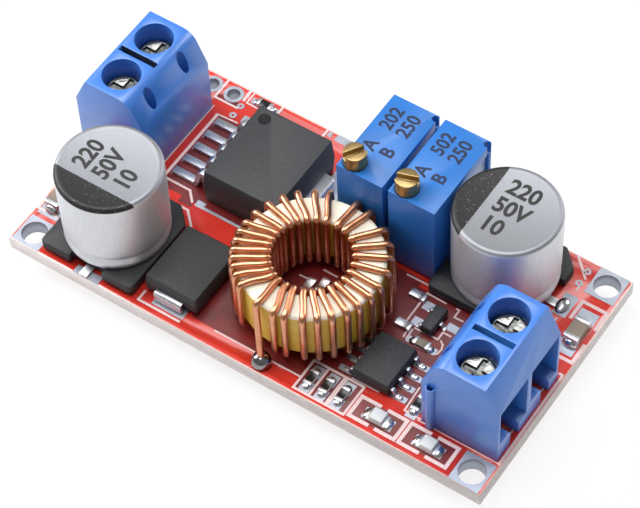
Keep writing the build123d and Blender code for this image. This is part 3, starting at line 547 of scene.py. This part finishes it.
# %% Dark windows between the copper areas
WINDOW_HIGH = 0.008
windows = bmesh.new()
for x0, x1, y0, y1 in (
    # partly painted shade: beside the regulator this window darkens ground that lies in its shade
    (-17.3, -4.2, -0.7, 9.0),
    (-14.7, -13.3, -1.4, -0.7),
    (-6.0, 5.85, -11.35, 3.2),
    (5.85, 9.4, -9.3, 3.2),
    (9.4, 11.2, -9.2, 2.4),
    (11.2, 16.9, -8.9, 2.4),
    (5.95, 11.1, -12.55, -9.4),
    (11.55, 16.3, -12.4, -10.2),
    (16.8, 21.45, -12.4, -10.2),
    (-24.9, -22.6, -9.2, -5.6),
    (-18.9, -16.5, 10.75, 11.2),
):
    plate(windows, x0, x1, y0, y1, 0.0, WINDOW_HIGH)
make_piece("laminate_and_shade_windows", windows, [laminate_mask_and_shade])

# %% [markdown]
# ## Squares of bare metal
# Round each mounting hole the copper is bare and tinned, in a square on both faces. A boolean
# could cut the screw's hole, but bridging a square loop to a round one gives the same flat
# ring with clean faces, and extruding it makes a closed plate.

# %% Squares round the mounting holes
mount_holes = ((-23.7, -11.5), (23.7, -11.5), (23.7, 11.5))
corners = ((-1, -1), (1, -1), (1, 1), (-1, 1))
HALF_X, HALF_Y, HOLE_R, SQUARE_HIGH = 1.5, 1.6, 1.26, 0.02
layers = (("top", 0.0, SQUARE_HIGH), ("under", board_under - SQUARE_HIGH, board_under))
for number, (x, y) in enumerate(mount_holes, start=1):
    for side, low, high in layers:
        square = bmesh.new()
        points = [square.verts.new((x + HALF_X * a, y + HALF_Y * b, low)) for a, b in corners]
        frame_edges = [square.edges.new((points[i], points[i - 1])) for i in range(4)]
        hole = bmesh.ops.create_circle(square, segments=40, radius=HOLE_R)["verts"]
        bmesh.ops.translate(square, vec=(x, y, low), verts=hole)
        rim_edges = [e for v in hole for e in v.link_edges]
        bmesh.ops.bridge_loops(square, edges=list(set(frame_edges + rim_edges)))
        made = bmesh.ops.extrude_face_region(square, geom=list(square.faces))["geom"]
        lifted = [v for v in made if isinstance(v, bmesh.types.BMVert)]
        bmesh.ops.translate(square, vec=(0, 0, high - low), verts=lifted)
        make_piece(f"hole_square_{side}_{number}", square, [tinned_pad])

# %% [markdown]
# ## Lands and rings
# A land is the patch of tinned copper that a lead or a chip's end is soldered to, and a ring
# goes round each plated hole. They are flat, so plates and rings are enough. The lands of the
# chips are placed from the chips themselves, so they follow if a chip moves.

# %% Lands, rings and vias
LAND_HIGH, RING_HIGH, SINK = 0.025, 0.03, 0.01
regulator_rows = (1.25, 2.95, 4.65, 6.35, 8.05)
opamp_rows = (-4.75, -6.02, -7.29, -8.55)
resistors = ("chip_resistor_1", "chip_resistor_2", "chip_resistor_3", "sense_resistor")
lengthwise_chips = ("edge_resistor", "small_ceramic", "indicator_led_1", "indicator_led_2")

lands = bmesh.new()
for y in regulator_rows:
    plate(lands, -17.15, -14.4, y - 0.38, y + 0.38, 0.0, LAND_HIGH)
for x0, x1, y0, y1 in (
    (-15.2, -14.0, 9.45, 10.3),
    (-6.4, -4.7, 12.3, 13.1),
    (-7.3, -6.85, 12.4, 12.95),
    (-12.2, -4.0, -1.0, -0.72),
    (-13.1, -12.2, -1.02, -0.3),
    (-4.2, -0.3, -0.2, 11.8),
    (-9.95, -6.55, -12.1, -10.7),
    (-9.95, -6.85, -4.6, -3.2),
    (20.9, 22.25, 6.46, 9.0),
    (9.0, 10.6, 6.5, 8.8),
    (-18.1, -15.3, -13.12, -12.2),
    (-18.0, -16.0, -2.6, -1.2),
    (22.95, 24.8, 6.8, 8.3),
    (22.9, 24.85, 3.15, 4.6),
    (10.85, 12.4, 0.55, 1.5),
    (10.87, 12.45, -1.38, -0.46),
    (13.85, 14.95, -0.25, 0.55),
):
    plate(lands, x0, x1, y0, y1, 0.0, LAND_HIGH)
for y in opamp_rows:
    plate(lands, 13.5, 15.1, y - 0.3, y + 0.3, 0.0, LAND_HIGH)
    plate(lands, 8.1, 9.7, y - 0.3, y + 0.3, 0.0, LAND_HIGH)
for node in ("input_ceramic", *resistors):
    low, high, _ = measure(node)
    wide = 0.35 if "ceramic" in node else 0.12
    for end, out in ((low.y, -0.75), (high.y, 0.75)):
        y0, y1 = sorted((end - out * 0.7, end + out))
        plate(lands, low.x - wide, high.x + wide, y0, y1, 0.0, LAND_HIGH)
for node in lengthwise_chips:
    low, high, _ = measure(node)
    reach = 0.5 if "led" in node else 0.7
    for end, out in ((low.x, -reach), (high.x, reach)):
        x0, x1 = sorted((end - out * 0.6, end + out))
        plate(lands, x0, x1, low.y + 0.05, high.y - 0.05, 0.0, LAND_HIGH)
make_piece("tinned_lands", lands, [tinned_pad])

holes = bmesh.new()
for x in (-20.05, -17.6):
    ring(holes, (x, 11.85), 0.66, 1.0, -SINK, RING_HIGH)
    ring(holes, (x, 11.85), 0.66, 1.0, board_under - RING_HIGH, board_under + SINK)
for spot in ((21.4, 11.95), (21.4, 10.46), (-16.2, 11.0), (-16.2, 9.7)):
    ring(holes, spot, 0.14, 0.36, 0.0, RING_HIGH, 20)
make_piece("plated_rings", holes, [tinned_pad])

# %% [markdown]
# ## White print
# The print marks the outline of each part. On the real board it is a thin layer of epoxy
# ink, a tenth to two fifths of a millimetre wide. Each line here is a row of flat bars that
# overlap at the corners, at slightly different heights, because two faces in one plane
# flicker in a render.

# %% Printed outlines
FINE, THIN, MIDDLE, BROAD, WIDE, WIDEST = 0.11, 0.17, 0.23, 0.3, 0.35, 0.42
PRINT_HIGH, PRINT_STEP = 0.02, 0.005
printed = bmesh.new()
outlines = (
    (MIDDLE, ((24.9, 1.14), (25.2, 1.14), (25.2, -9.62))),
    (FINE, ((25.2, -9.62), (16.95, -9.62))),
    (THIN, ((24.45, -6.6), (24.45, -5.9))),
    (THIN, ((24.45, -1.5), (24.45, -0.8))),
    (FINE, ((-18.42, 9.7), (-18.42, -0.95), (-25.3, -0.95))),
    (THIN, ((-15.33, 9.15), (-17.56, 9.0))),
    (BROAD, ((-17.5, 8.9), (-17.5, 0.65))),
    (MIDDLE, ((-17.1, 0.21), (-14.44, 0.19), (-13.49, -0.8))),
    (MIDDLE, ((-14.17, -1.76), (-13.25, -1.81), (-11.95, -3.13))),
    (MIDDLE, ((-11.2, -11.35), (-11.2, -12.4), (-6.7, -12.4))),
    (THIN, ((-3.34, -11.45), (5.85, -11.4))),
    (MIDDLE, ((5.9, -12.65), (5.9, -9.3), (11.18, -9.3), (11.18, -12.65), (5.9, -12.65))),
    (MIDDLE, ((7.5, -12.6), (7.5, -9.35))),
    (WIDEST, ((9.32, -12.55), (9.32, -9.4))),
    (WIDE, ((13.4, -10.18), (11.57, -10.18), (11.57, -12.42), (13.45, -12.42))),
    (WIDE, ((14.4, -12.42), (16.26, -12.42), (16.26, -10.18), (14.4, -10.18))),
    (WIDE, ((18.6, -10.18), (16.72, -10.18), (16.72, -12.42), (18.65, -12.42))),
    (WIDE, ((19.6, -12.42), (21.52, -12.42), (21.52, -10.18), (19.6, -10.18))),
    (WIDE, ((22.66, 6.9), (22.68, 8.92), (25.2, 8.9), (25.2, 6.88))),
    (WIDE, ((25.2, 4.8), (25.2, 2.7), (24.0, 2.7))),
    (MIDDLE, ((19.9, 12.95), (21.6, 11.2))),
    (THIN, ((21.58, 9.6), (21.58, 10.1))),
    (THIN, ((21.63, 5.8), (21.63, 6.1))),
    (MIDDLE, ((-19.0, 12.95), (-18.98, 10.63), (-16.4, 10.62))),
    (BROAD, ((-16.42, 12.95), (-16.37, 11.8))),
    (THIN, ((-15.97, 13.0), (-15.95, 11.65), (-14.75, 11.62))),
    (MIDDLE, ((-12.7, 12.95), (-12.68, 12.3))),
    (MIDDLE, ((-7.56, 12.15), (-7.55, 13.0))),
    (MIDDLE, ((-25.22, -7.6), (-25.22, -9.0), (-23.1, -8.97))),
    (MIDDLE, ((-22.6, -5.4), (-25.2, -5.4), (-25.2, -6.4))),
    (THIN, ((-0.37, -2.31), (0.53, -2.26))),
    (THIN, ((1.16, -0.67), (2.59, -0.69))),
    (THIN, ((15.3, -6.75), (15.44, -9.4), (17.1, -9.42))),
    (THIN, ((9.78, -9.06), (12.46, -9.0))),
    (THIN, ((7.83, 2.97), (10.34, 2.99))),
    (THIN, ((12.44, 2.14), (10.46, 2.18), (10.5, -1.66))),
    (THIN, ((10.03, -1.71), (11.05, -1.73), (11.17, -2.9))),
    (THIN, ((11.45, -1.85), (11.5, -2.95))),
    (THIN, ((11.59, -1.6), (13.93, -1.55), (13.92, -0.66), (14.69, -0.68))),
    (
        THIN,
        ((14.25, -1.55), (14.6, -1.8), (14.78, -2.3), (14.7, -2.85), (14.4, -3.12), (12.6, -3.2)),
    ),
    (THIN, ((13.63, 2.16), (13.88, 2.12), (13.91, 1.26), (14.75, 1.28))),
)
for i, (ink, points) in enumerate(outlines):
    line(printed, points, ink, 0.0, PRINT_HIGH + PRINT_STEP * (i % 3))
make_piece("printed_outlines", printed, [print_white])

# %% [markdown]
# ## Terminal blocks
# Each block is one blue moulding. Down each well sits a zinc-plated clamp screw, and
# behind the wire mouth is its plated clamp. These parts are right as they are, so they
# are softened copies, each riding on the body that moves with it.

# %% Blocks, clamps and screws
SLOT_HALF, SLOT_FROM, SLOT_TO = 0.35, 0.3, 2.9
RECESS_R, RECESS_FROM, RECESS_TO = 1.5, 0.08, 1.5
STRAIGHT = 0.98  # a direction's share along an axis, above which a face counts as square to it


def slot_chooser(node):
    """Finish 1, a painted shade, for the narrow slot in a block's top, where hardly any light
    reaches.
    """
    _, top, middle = measure(node)

    def choose(centre, normal):
        inside = abs(centre.y - middle.y) < SLOT_HALF and SLOT_FROM < top.z - centre.z < SLOT_TO
        square = abs(normal.z) > STRAIGHT or abs(normal.y) > STRAIGHT
        return 1 if inside and square else 0

    return choose


def recess_chooser(node):
    """Finish 1, zinc darkened as painted shade, for the cross that the screwdriver fits."""
    _, top, middle = measure(node)

    def choose(centre, normal):
        inside = RECESS_FROM < top.z - centre.z < RECESS_TO
        return 1 if inside and (centre - middle).xy.length < RECESS_R else 0

    return choose


for side in ("input", "output"):
    block = f"{side}_block_housing"
    # the slot in each block's top gets the painted shade
    soften(block, [block_blue, slot_painted_shade], edge=0.12, choose=slot_chooser(block))
    soften(f"{side}_clamp_frames", [clamp_plate], edge=0.08)
    for number in (1, 2):
        leaf, screw = f"{side}_clamp_leaf_{number}", f"{side}_clamp_screw_{number}"
        soften(leaf, [clamp_plate], edge=0.05, body=f"{side}_leaf_{number}")
        soften(
            screw,
            [screw_zinc, zinc_recess_shade],
            edge=0.06,
            body=f"{side}_screw_{number}",
            segments=3,
            angle=25,
            choose=recess_chooser(screw),
        )

# %% [markdown]
# ## Can capacitors
# A can is drawn from aluminium, crimped over its rubber plug and pressed into a moulded
# base. A turned profile gives the rounded shoulder, the groove and the rolled foot. The
# black segment on top marks the minus side, with pale specks where the ink missed.

# %% Cans and their bases


def can(side, mark):
    """Replaces one can. Its mark is the direction of the black segment, in degrees."""
    low, high, middle = measure(f"{side}_capacitor_can")
    radius = (high.x - low.x) / 2
    profile = [
        (0, low.z),
        (radius - 0.45, low.z),
        (radius - 0.12, low.z + 0.12),
        (radius - 0.02, low.z + 0.5),
        (radius - 0.03, low.z + 0.85),
        (radius - 0.24, low.z + 1.15),
        (radius - 0.26, low.z + 1.35),
        (radius - 0.05, low.z + 1.7),
        (radius, low.z + 2.0),
        (radius, high.z - 0.5),
        (radius - 0.03, high.z - 0.3),
        (radius - 0.13, high.z - 0.12),
        (radius - 0.3, high.z - 0.02),
        (radius - 0.45, high.z),
        (radius - 0.6, high.z - 0.02),
        (radius - 0.72, high.z - 0.05),
        (0, high.z - 0.06),
    ]
    shape = bmesh.new()
    turned(shape, profile, (middle.x, middle.y), 128)
    finish = can_finish(f"can_{side}", middle, high.z, mark)
    make_piece(f"{side}_can_drawn", shape, [finish], stands_for=[f"{side}_capacitor_can"], sharp=60)
    return middle, high.z - 0.06


input_can = can("input", -90)
output_can = can("output", 180)
for side in ("input", "output"):
    soften(f"{side}_capacitor_base", [base_black], edge=0.12)
    soften(f"{side}_capacitor_leads", [tinned_lead], edge=0.04)

# %% [markdown]
# ## Lettering
# Blender's text objects are flat curves. Each word is made a mesh, thickened a little and
# turned to its place. The numbers here are plain round values and say nothing about a maker.

# %% Numbers on the parts


def lettering(name, words, size, spot, turn, finish, deep, weight, narrow):
    """A word as a piece. The weight thickens its strokes, and narrow is its share of width."""
    curve = bpy.data.curves.new(name, "FONT")
    curve.body = words
    curve.size = size
    curve.extrude = deep / 2
    curve.offset = weight
    curve.align_x = "CENTER"
    curve.align_y = "CENTER"
    curve.resolution_u = 3
    written = bpy.data.objects.new(name, curve)
    bpy.context.scene.collection.objects.link(written)
    evaluated = written.evaluated_get(bpy.context.evaluated_depsgraph_get())
    mesh = bpy.data.meshes.new_from_object(evaluated)
    shape = bmesh.new()
    shape.from_mesh(mesh)
    bpy.data.objects.remove(written)
    bmesh.ops.scale(shape, vec=(narrow, 1, 1), verts=shape.verts)
    bmesh.ops.rotate(shape, matrix=Matrix.Rotation(radians(turn), 3, "Z"), verts=shape.verts)
    bmesh.ops.translate(shape, vec=spot, verts=shape.verts)
    return make_piece(name, shape, [finish], sharp=30)


can_lines = (("220", -2.35, 0.25), ("50V", -0.1, 0.25), ("10", 2.2, -0.35))
for side, (middle, top), turn in (("input", input_can, 90), ("output", output_can, 0)):
    along = Vector((cos(radians(turn)), sin(radians(turn))))
    down = Vector((sin(radians(turn)), -cos(radians(turn))))
    for row, (words, drop_by, shift) in enumerate(can_lines):
        spot = Vector((middle.x, middle.y)) + down * drop_by + along * shift
        lettering(
            f"{side}_can_line_{row + 1}",
            words,
            size=2.35,
            spot=(*spot, top + 0.006),
            turn=turn,
            finish=ink_black,
            deep=0.012,
            weight=0.075,
            narrow=0.9,
        )

# %% [markdown]
# ## Moulded packages
# The regulator, the diode and the control chips are black epoxy round a lead frame. The
# compound has a fine grain and the leads are tinned, so softened copies are all they need.

# %% Packages and their leads
for name in ("regulator", "diode", "opamp", "reference"):
    soften(f"{name}_body", [mould_compound], edge=0.1)
    soften(f"{name}_leads", [tinned_lead], edge=0.05, angle=50)
soften("regulator_tab", [tinned_lead], edge=0.08)
top = measure("regulator_body")[1].z
marks = bmesh.new()
disc(marks, (-11.15, 8.11), 0.55, top - 0.05, top + 0.006)
make_piece("regulator_dot", marks, [chip_black])

# %% [markdown]
# ## The ring of the inductor
# The ring is pressed iron powder under a thick coat of paint, so its edges are round. A
# turned ring with a Bevel modifier gives that, and the width of the rounding can be changed
# afterwards.

# %% The painted ring
core_low, core_high, core_mid = measure("inductor_core")
core_r = (core_high.x - core_low.x) / 2
bore_r = 4.05
shape = bmesh.new()
ring(shape, (core_mid.x, core_mid.y), bore_r, core_r, core_low.z, core_high.z, 96)
ring_piece = make_piece("painted_ring", shape, [core_paint], stands_for=["inductor_core"])
rounding = ring_piece.modifiers.new("rounded edges", "BEVEL")
rounding.width = 0.4 * MM
rounding.segments = 4
rounding.limit_method = "ANGLE"
rounding.angle_limit = radians(50)

# %% [markdown]
# ## The winding
# One enamelled wire is wound thirty times through the ring, a little out of line from turn
# to turn as hand winding leaves it. Modelling thirty loops apart would leave gaps at their
# ends. Here one smooth curve passes a few points for each turn, a round bevel makes it a
# wire, and only then is it made a mesh.

# %% Where each turn lies
WIRE = 0.65
SWAY = 0.8  # degrees that a turn may stray from its place
# how many turns, and the angles of the first and last of them: on the rim and in the bore
groups = (
    (1, (261, 261), (257, 257)),
    (2, (275, 284), (270, 281)),
    (6, (298, 351), (294, 350)),
    (5, (362, 416), (364, 418)),
    (2, (435, 447), (435, 448)),
    (6, (470, 530), (465, 527)),
    (8, (542, 600), (537, 606)),
)
rng = random.Random(7)
turns = []
for count, rims, bores in groups:
    for i in range(count):
        share = i / max(count - 1, 1)
        rim_angle = rims[0] + (rims[1] - rims[0]) * share + rng.uniform(-SWAY, SWAY)
        bore_angle = bores[0] + (bores[1] - bores[0]) * share + rng.uniform(-SWAY, SWAY)
        turns.append((rim_angle, bore_angle))
print("turns of wire:", len(turns))

# %% The path of the wire
RIM_GAP = 0.08  # the wire stands this far off the rim
BEND, TIGHT_BEND = 1.1, 0.77  # how far from a corner the wire leaves its straight run
WIRE_END = -1.6  # both ends go through the board
outer, inner = core_r + WIRE / 2 + RIM_GAP, bore_r - WIRE / 2
under, over = core_low.z - WIRE / 2, core_high.z + WIRE / 2
start = (2.09, -12.05)


def on_ring(radius, angle, z):
    """A place by its distance and angle from the middle of the ring."""
    along, across = radius * cos(radians(angle)), radius * sin(radians(angle))
    return (core_mid.x + along, core_mid.y + across, z)


path = [(*start, WIRE_END), (*start, 0.4), (*start, under + BEND)]
for i, (rim_angle, bore_angle) in enumerate(turns):
    if i:
        path += [on_ring(inner, turns[i - 1][1], under)]
        path += [on_ring(outer, rim_angle, under), on_ring(outer, rim_angle, under + BEND)]
    path += [on_ring(outer, rim_angle, over - BEND), on_ring(outer, rim_angle, over)]
    path += [on_ring(outer - BEND, rim_angle, over)]
    path += [on_ring(inner + TIGHT_BEND, bore_angle, over)]
    path += [on_ring(inner, bore_angle, over), on_ring(inner, bore_angle, over - TIGHT_BEND)]
    if i < len(turns) - 1:
        path += [on_ring(inner, bore_angle, under + TIGHT_BEND)]
path += [on_ring(inner, turns[-1][1], 0.2), on_ring(inner, turns[-1][1], WIRE_END)]
print("points on the path:", len(path))

# %% The wire itself
curve = bpy.data.curves.new("winding_path", "CURVE")
curve.dimensions = "3D"
curve.bevel_depth = WIRE / 2
curve.bevel_resolution = 4
curve.use_fill_caps = True
curve.resolution_u = 4
spline = curve.splines.new("NURBS")
spline.points.add(len(path) - 1)
for point, place in zip(spline.points, path):
    point.co = (*place, 1)
spline.order_u = 3
spline.use_endpoint_u = True
wound = bpy.data.objects.new("winding_path", curve)
bpy.context.scene.collection.objects.link(wound)
evaluated = wound.evaluated_get(bpy.context.evaluated_depsgraph_get())
mesh = bpy.data.meshes.new_from_object(evaluated)
bpy.data.objects.remove(wound)
shape = bmesh.new()
shape.from_mesh(mesh)
make_piece("round_winding", shape, [copper_wire], stands_for=["inductor_winding"], sharp=60)

# %% [markdown]
# ## Trimmers
# Each trimmer is a blue box sealed with pale resin, and a slotted brass screw stands out
# of its top. The screw rides on the adjuster that turns, the carriage on the one that slides.

# %% Boxes, panels and adjusters
LEFT, RIGHT, FAR, NEAR = -1.05, 0.75, 2.28, -1.22  # where the marks lie, from the middle
for side, turn, digits in (("voltage", 56.6, "202"), ("current", 18.4, "502")):
    soften(f"{side}_trimmer_housing", [trimmer_blue], edge=0.1)
    soften(f"{side}_trimmer_panel", [pale_resin], edge=0.05)
    soften(f"{side}_trimmer_seal", [pale_resin], edge=0.05)
    soften(f"{side}_trimmer_pins", [tinned_lead], edge=0.04)
    soften(f"{side}_trimmer_element", [element_ceramic], edge=0.03)
    soften(f"{side}_trimmer_carriage", [carriage_white], edge=0.05, body=f"{side}_carriage")
    soften(
        f"{side}_trimmer_screw",
        [adjuster_brass],
        edge=0.07,
        body=f"{side}_adjuster",
        segments=3,
        angle=25,
        turn=turn,
    )
    _, high, middle = measure(f"{side}_trimmer_housing")
    marks = ((digits, LEFT, FAR), ("A", LEFT, NEAR), ("250", RIGHT, FAR), ("B", RIGHT, NEAR))
    for row, (words, across, along) in enumerate(marks):
        lettering(
            f"{side}_trimmer_mark_{row + 1}",
            words,
            size=1.85,
            spot=(middle.x + across, middle.y + along, high.z + 0.003),
            turn=90,
            finish=ink_navy,
            deep=0.01,
            weight=0.05,
            narrow=0.95,
        )

# %% [markdown]
# ## Chips and lights
# A chip resistor is a white ceramic bar with a black glaze on top and metal ends. A chip
# ceramic is brown all over. The faces of one merged copy get their finishes by how far
# along the chip they lie, which keeps the chip in one piece.

# %% Chip bodies with metal ends
SMALL_CAP, LARGE_CAP, SHUNT_CAP = 0.33, 0.46, 1.2


def chip(node, axis, cap, body_finish, top_finish=None):
    """A chip whose metal ends reach cap millimetres in, along axis 0 or 1."""
    low, high, middle = measure(node)
    half = (high[axis] - low[axis]) / 2

    def choose(centre, normal):
        if half - abs(centre[axis] - middle[axis]) < cap:
            return 0
        return 2 if normal.z > 0.9 and top_finish else 1

    finishes = [tinned_lead, body_finish] + ([top_finish] if top_finish else [])
    soften(node, finishes, edge=0.04, choose=choose)


for node in resistors:
    chip(node, 1, SMALL_CAP, chip_white, chip_black)
chip("edge_resistor", 0, SMALL_CAP, chip_white, chip_black)
chip("small_ceramic", 0, SMALL_CAP, chip_brown)
chip("filter_ceramic", 1, LARGE_CAP, chip_brown)
chip("input_ceramic", 1, LARGE_CAP, chip_brown)
chip("current_shunt", 0, SHUNT_CAP, chip_white, chip_black)
for node in ("feedback_chips", "chips_in_bore"):
    soften(node, [tinned_lead], edge=0.05)

# %% [markdown]
# An indicator light is a block of clear resin on a small base with metal ends. Its copy is
# dressed like a chip, with the resin as the first finish.

# %% Indicator lights
LENS_HALF = 0.69


def lens_chooser(node):
    middle = measure(node)[2]
    return lambda centre, normal: 1 if abs(centre.x - middle.x) > LENS_HALF else 0


for number in (1, 2):
    light = f"indicator_led_{number}"
    soften(light, [led_resin, tinned_lead], edge=0.06, choose=lens_chooser(light))

# %% [markdown]
# ## Solder under the board
# Below the board, solder climbs each pin in a hollow cone and closes over its tip. The cones
# all have one profile, turned about the pin and sized by three numbers: the width of the
# foot, the width of the neck, and the height.

# %% Solder under the board
PITCH = 2.54
block_joint, trimmer_joint, wire_joint = (1.15, 0.6, 1.05), (0.78, 0.35, 0.75), (0.95, 0.45, 0.85)
block_pins = ((-22.45, 1.88), (-22.45, 6.96), (21.25, -6.96), (21.25, -1.88))
joints = [(spot, block_joint) for spot in block_pins]
for x in (2.42, 7.87):
    joints += [((x, 8.32 + step), trimmer_joint) for step in (-PITCH, 0, PITCH)]
joints += [(start, wire_joint), (on_ring(inner, turns[-1][1], 0)[:2], wire_joint)]
cones = bmesh.new()
for spot, (foot, neck, tall) in joints:
    profile = [
        (0, board_under),
        (foot, board_under),
        (foot * 0.75, board_under - tall * 0.3),
        (neck, board_under - tall * 0.75),
        (neck * 0.75, board_under - tall),
        (0, board_under - tall - 0.05),
    ]
    turned(cones, profile, spot, 28)
make_piece("solder_cones", cones, [solder_bright], stands_for=["solder_joints_under"], sharp=50)

# %% [markdown]
# ## Solder on top
# On top, solder lies in small drops at the feet of the leads and the ends of the chips. A
# ball that is flat below is enough at this size, because the eye sees the brightness of the
# metal and not its outline. The start of the winding has the one large, glassy ball.

# %% Solder on top
blobs = bmesh.new()
drop(blobs, (*start, 0.34), (1.9, 1.9), 0.94, 0.36)
make_piece("wire_start_solder", blobs, [solder_glassy], stands_for=["solder_dome_top"], sharp=70)
blobs = bmesh.new()
for spot in ((1.05, -2.46, 0), (2.13, -1.64, 0)):
    drop(blobs, spot, (0.8, 0.8), 0.4)
for y in opamp_rows:
    drop(blobs, (13.95, y, 0), (0.45, 0.5), 0.3)
    drop(blobs, (14.5, y, 0), (0.55, 0.5), 0.26)
for node in (*resistors, "filter_ceramic", "input_ceramic"):
    low, high, middle = measure(node)
    for end in (low.y, high.y):
        drop(blobs, (middle.x, end, 0), (high.x - low.x + 0.1, 0.9), high.z * 0.7)
for node in lengthwise_chips:
    low, high, middle = measure(node)
    for end in (low.x, high.x):
        drop(blobs, (end, middle.y, 0), (1.0, high.y - low.y + 0.1), 0.32)
drop(blobs, (21.4, 7.5, 0), (1.3, 1.9), 0.45)
make_piece("lead_solder", blobs, [solder_bright], sharp=70)

# %% [markdown]
# ## The floor
# The floor is pale and plain. Camera rays, and rays that metal or glass sends on, see it
# glow nearly white. Other rays meet a normal floor, so the object still has its shadow, and
# no light is added to it.

# %% Floor
FLOOR_HALF, FLOOR_DOWN, FLOOR_GLOW = 2.0, 0.05 * MM, 0.85
floor_shape = bmesh.new()
bmesh.ops.create_grid(floor_shape, x_segments=1, y_segments=1, size=FLOOR_HALF)
bmesh.ops.translate(floor_shape, vec=(0, 0, -FLOOR_DOWN), verts=floor_shape.verts)
floor_finish = Finish("pale_floor", base_color="F2F2F2", roughness=0.9)
tree = floor_finish.tree
path_node = tree.nodes.new("ShaderNodeLightPath")
glow = tree.nodes.new("ShaderNodeEmission")
glow.inputs["Strength"].default_value = 1.0
kinds = ("Is Camera Ray", "Is Glossy Ray", "Is Transmission Ray")
seen, mirrored, passed = [Value(floor_finish, path_node.outputs[kind]) for kind in kinds]
share = seen.most(mirrored).most(passed) * FLOOR_GLOW
blend = floor_finish.node("ShaderNodeMixShader", {}, {0: share})
tree.links.new(floor_finish.shader.outputs[0], blend.socket.node.inputs[1])
tree.links.new(glow.outputs[0], blend.socket.node.inputs[2])
tree.links.new(blend.socket, tree.nodes["Material Output"].inputs["Surface"])
floor_mesh = bpy.data.meshes.new("floor")
floor_shape.to_mesh(floor_mesh)
floor_shape.free()
floor_mesh.materials.append(floor_finish.material)
floor = bpy.data.objects.new("floor", floor_mesh)
bpy.context.scene.collection.objects.link(floor)
floor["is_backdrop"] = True
print("floor in mm below the pins:", FLOOR_DOWN / MM)

# %% [markdown]
# ## World and lamps
# A dim white world fills the shadows. Three square lamps give the soft highlights of a
# product photograph, the strongest to the left of the camera. A size is in metres and a
# power in watts, both small, because the object is only 50 mm long.

# %% World
WORLD_LIGHT = 0.27
world = bpy.data.worlds.new("studio")
bpy.context.scene.world = world
world.use_nodes = True
sky = world.node_tree.nodes["Background"]
sky.inputs["Color"].default_value = (1, 1, 1, 1)
sky.inputs["Strength"].default_value = WORLD_LIGHT
print("world:", WORLD_LIGHT)

# %% Lamps
AIM = Vector((0, 0, 0.005))


def lamp(name, place, size, power):
    light = bpy.data.lights.new(name, "AREA")
    light.shape = "SQUARE"
    light.size = size
    light.energy = power
    made = bpy.data.objects.new(name, light)
    made.location = place
    made.rotation_euler = (AIM - Vector(place)).to_track_quat("-Z", "Y").to_euler()
    bpy.context.scene.collection.objects.link(made)
    print("lamp:", name, power)


lamp("key_left", (-0.3, -0.03, 0.2), 0.18, 1.25)
lamp("top_soft", (-0.06, 0.02, 0.44), 0.3, 1.7)
lamp("back_rim", (0.12, 0.34, 0.18), 0.16, 0.6)

# %% [markdown]
# ## The camera
# The camera stands where the photograph was taken from: about 54 degrees above the floor,
# 36 degrees round from the board's long side, with a long lens and a slight roll. A matrix
# with the camera's three directions and its place sets all of that at once.

# %% Camera
azimuth, elevation, roll = radians(36.2729), radians(54.02), radians(-3.0983)
looks_at, distance = Vector((-0.3298, 1.3449, 0)), 231.17
backward = Vector((sin(azimuth) * cos(elevation), -cos(azimuth) * cos(elevation), sin(elevation)))
level_right = Vector((0, 0, 1)).cross(backward).normalized()
level_up = backward.cross(level_right)
right = cos(roll) * level_right + sin(roll) * level_up
up = -sin(roll) * level_right + cos(roll) * level_up
eye = to_frame @ (looks_at + backward * distance)
lens = bpy.data.cameras.new("photograph_view")
lens.sensor_width = 36
lens.lens = 142.2
lens.shift_x = -0.00425
lens.shift_y = -0.00986
lens.clip_start = 0.01
camera = bpy.data.objects.new("photograph_view", lens)
camera.matrix_world = Matrix(
    (
        (right.x, up.x, backward.x, eye.x),
        (right.y, up.y, backward.y, eye.y),
        (right.z, up.z, backward.z, eye.z),
        (0, 0, 0, 1),
    )
)
bpy.context.scene.collection.objects.link(camera)
bpy.context.scene.camera = camera
bpy.context.scene.view_settings.view_transform = "Standard"
print("camera at:", [round(value, 4) for value in eye])

# %% [markdown]
# ## Sizes
# The bounds of the imported model and of the dressed scene, turned into JSON text.
# Dressing must not make the model larger.

# %% The sizes as text
for low, high in (cad_box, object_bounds()):
    json.dumps([list(low), list(high)]) + "\n"
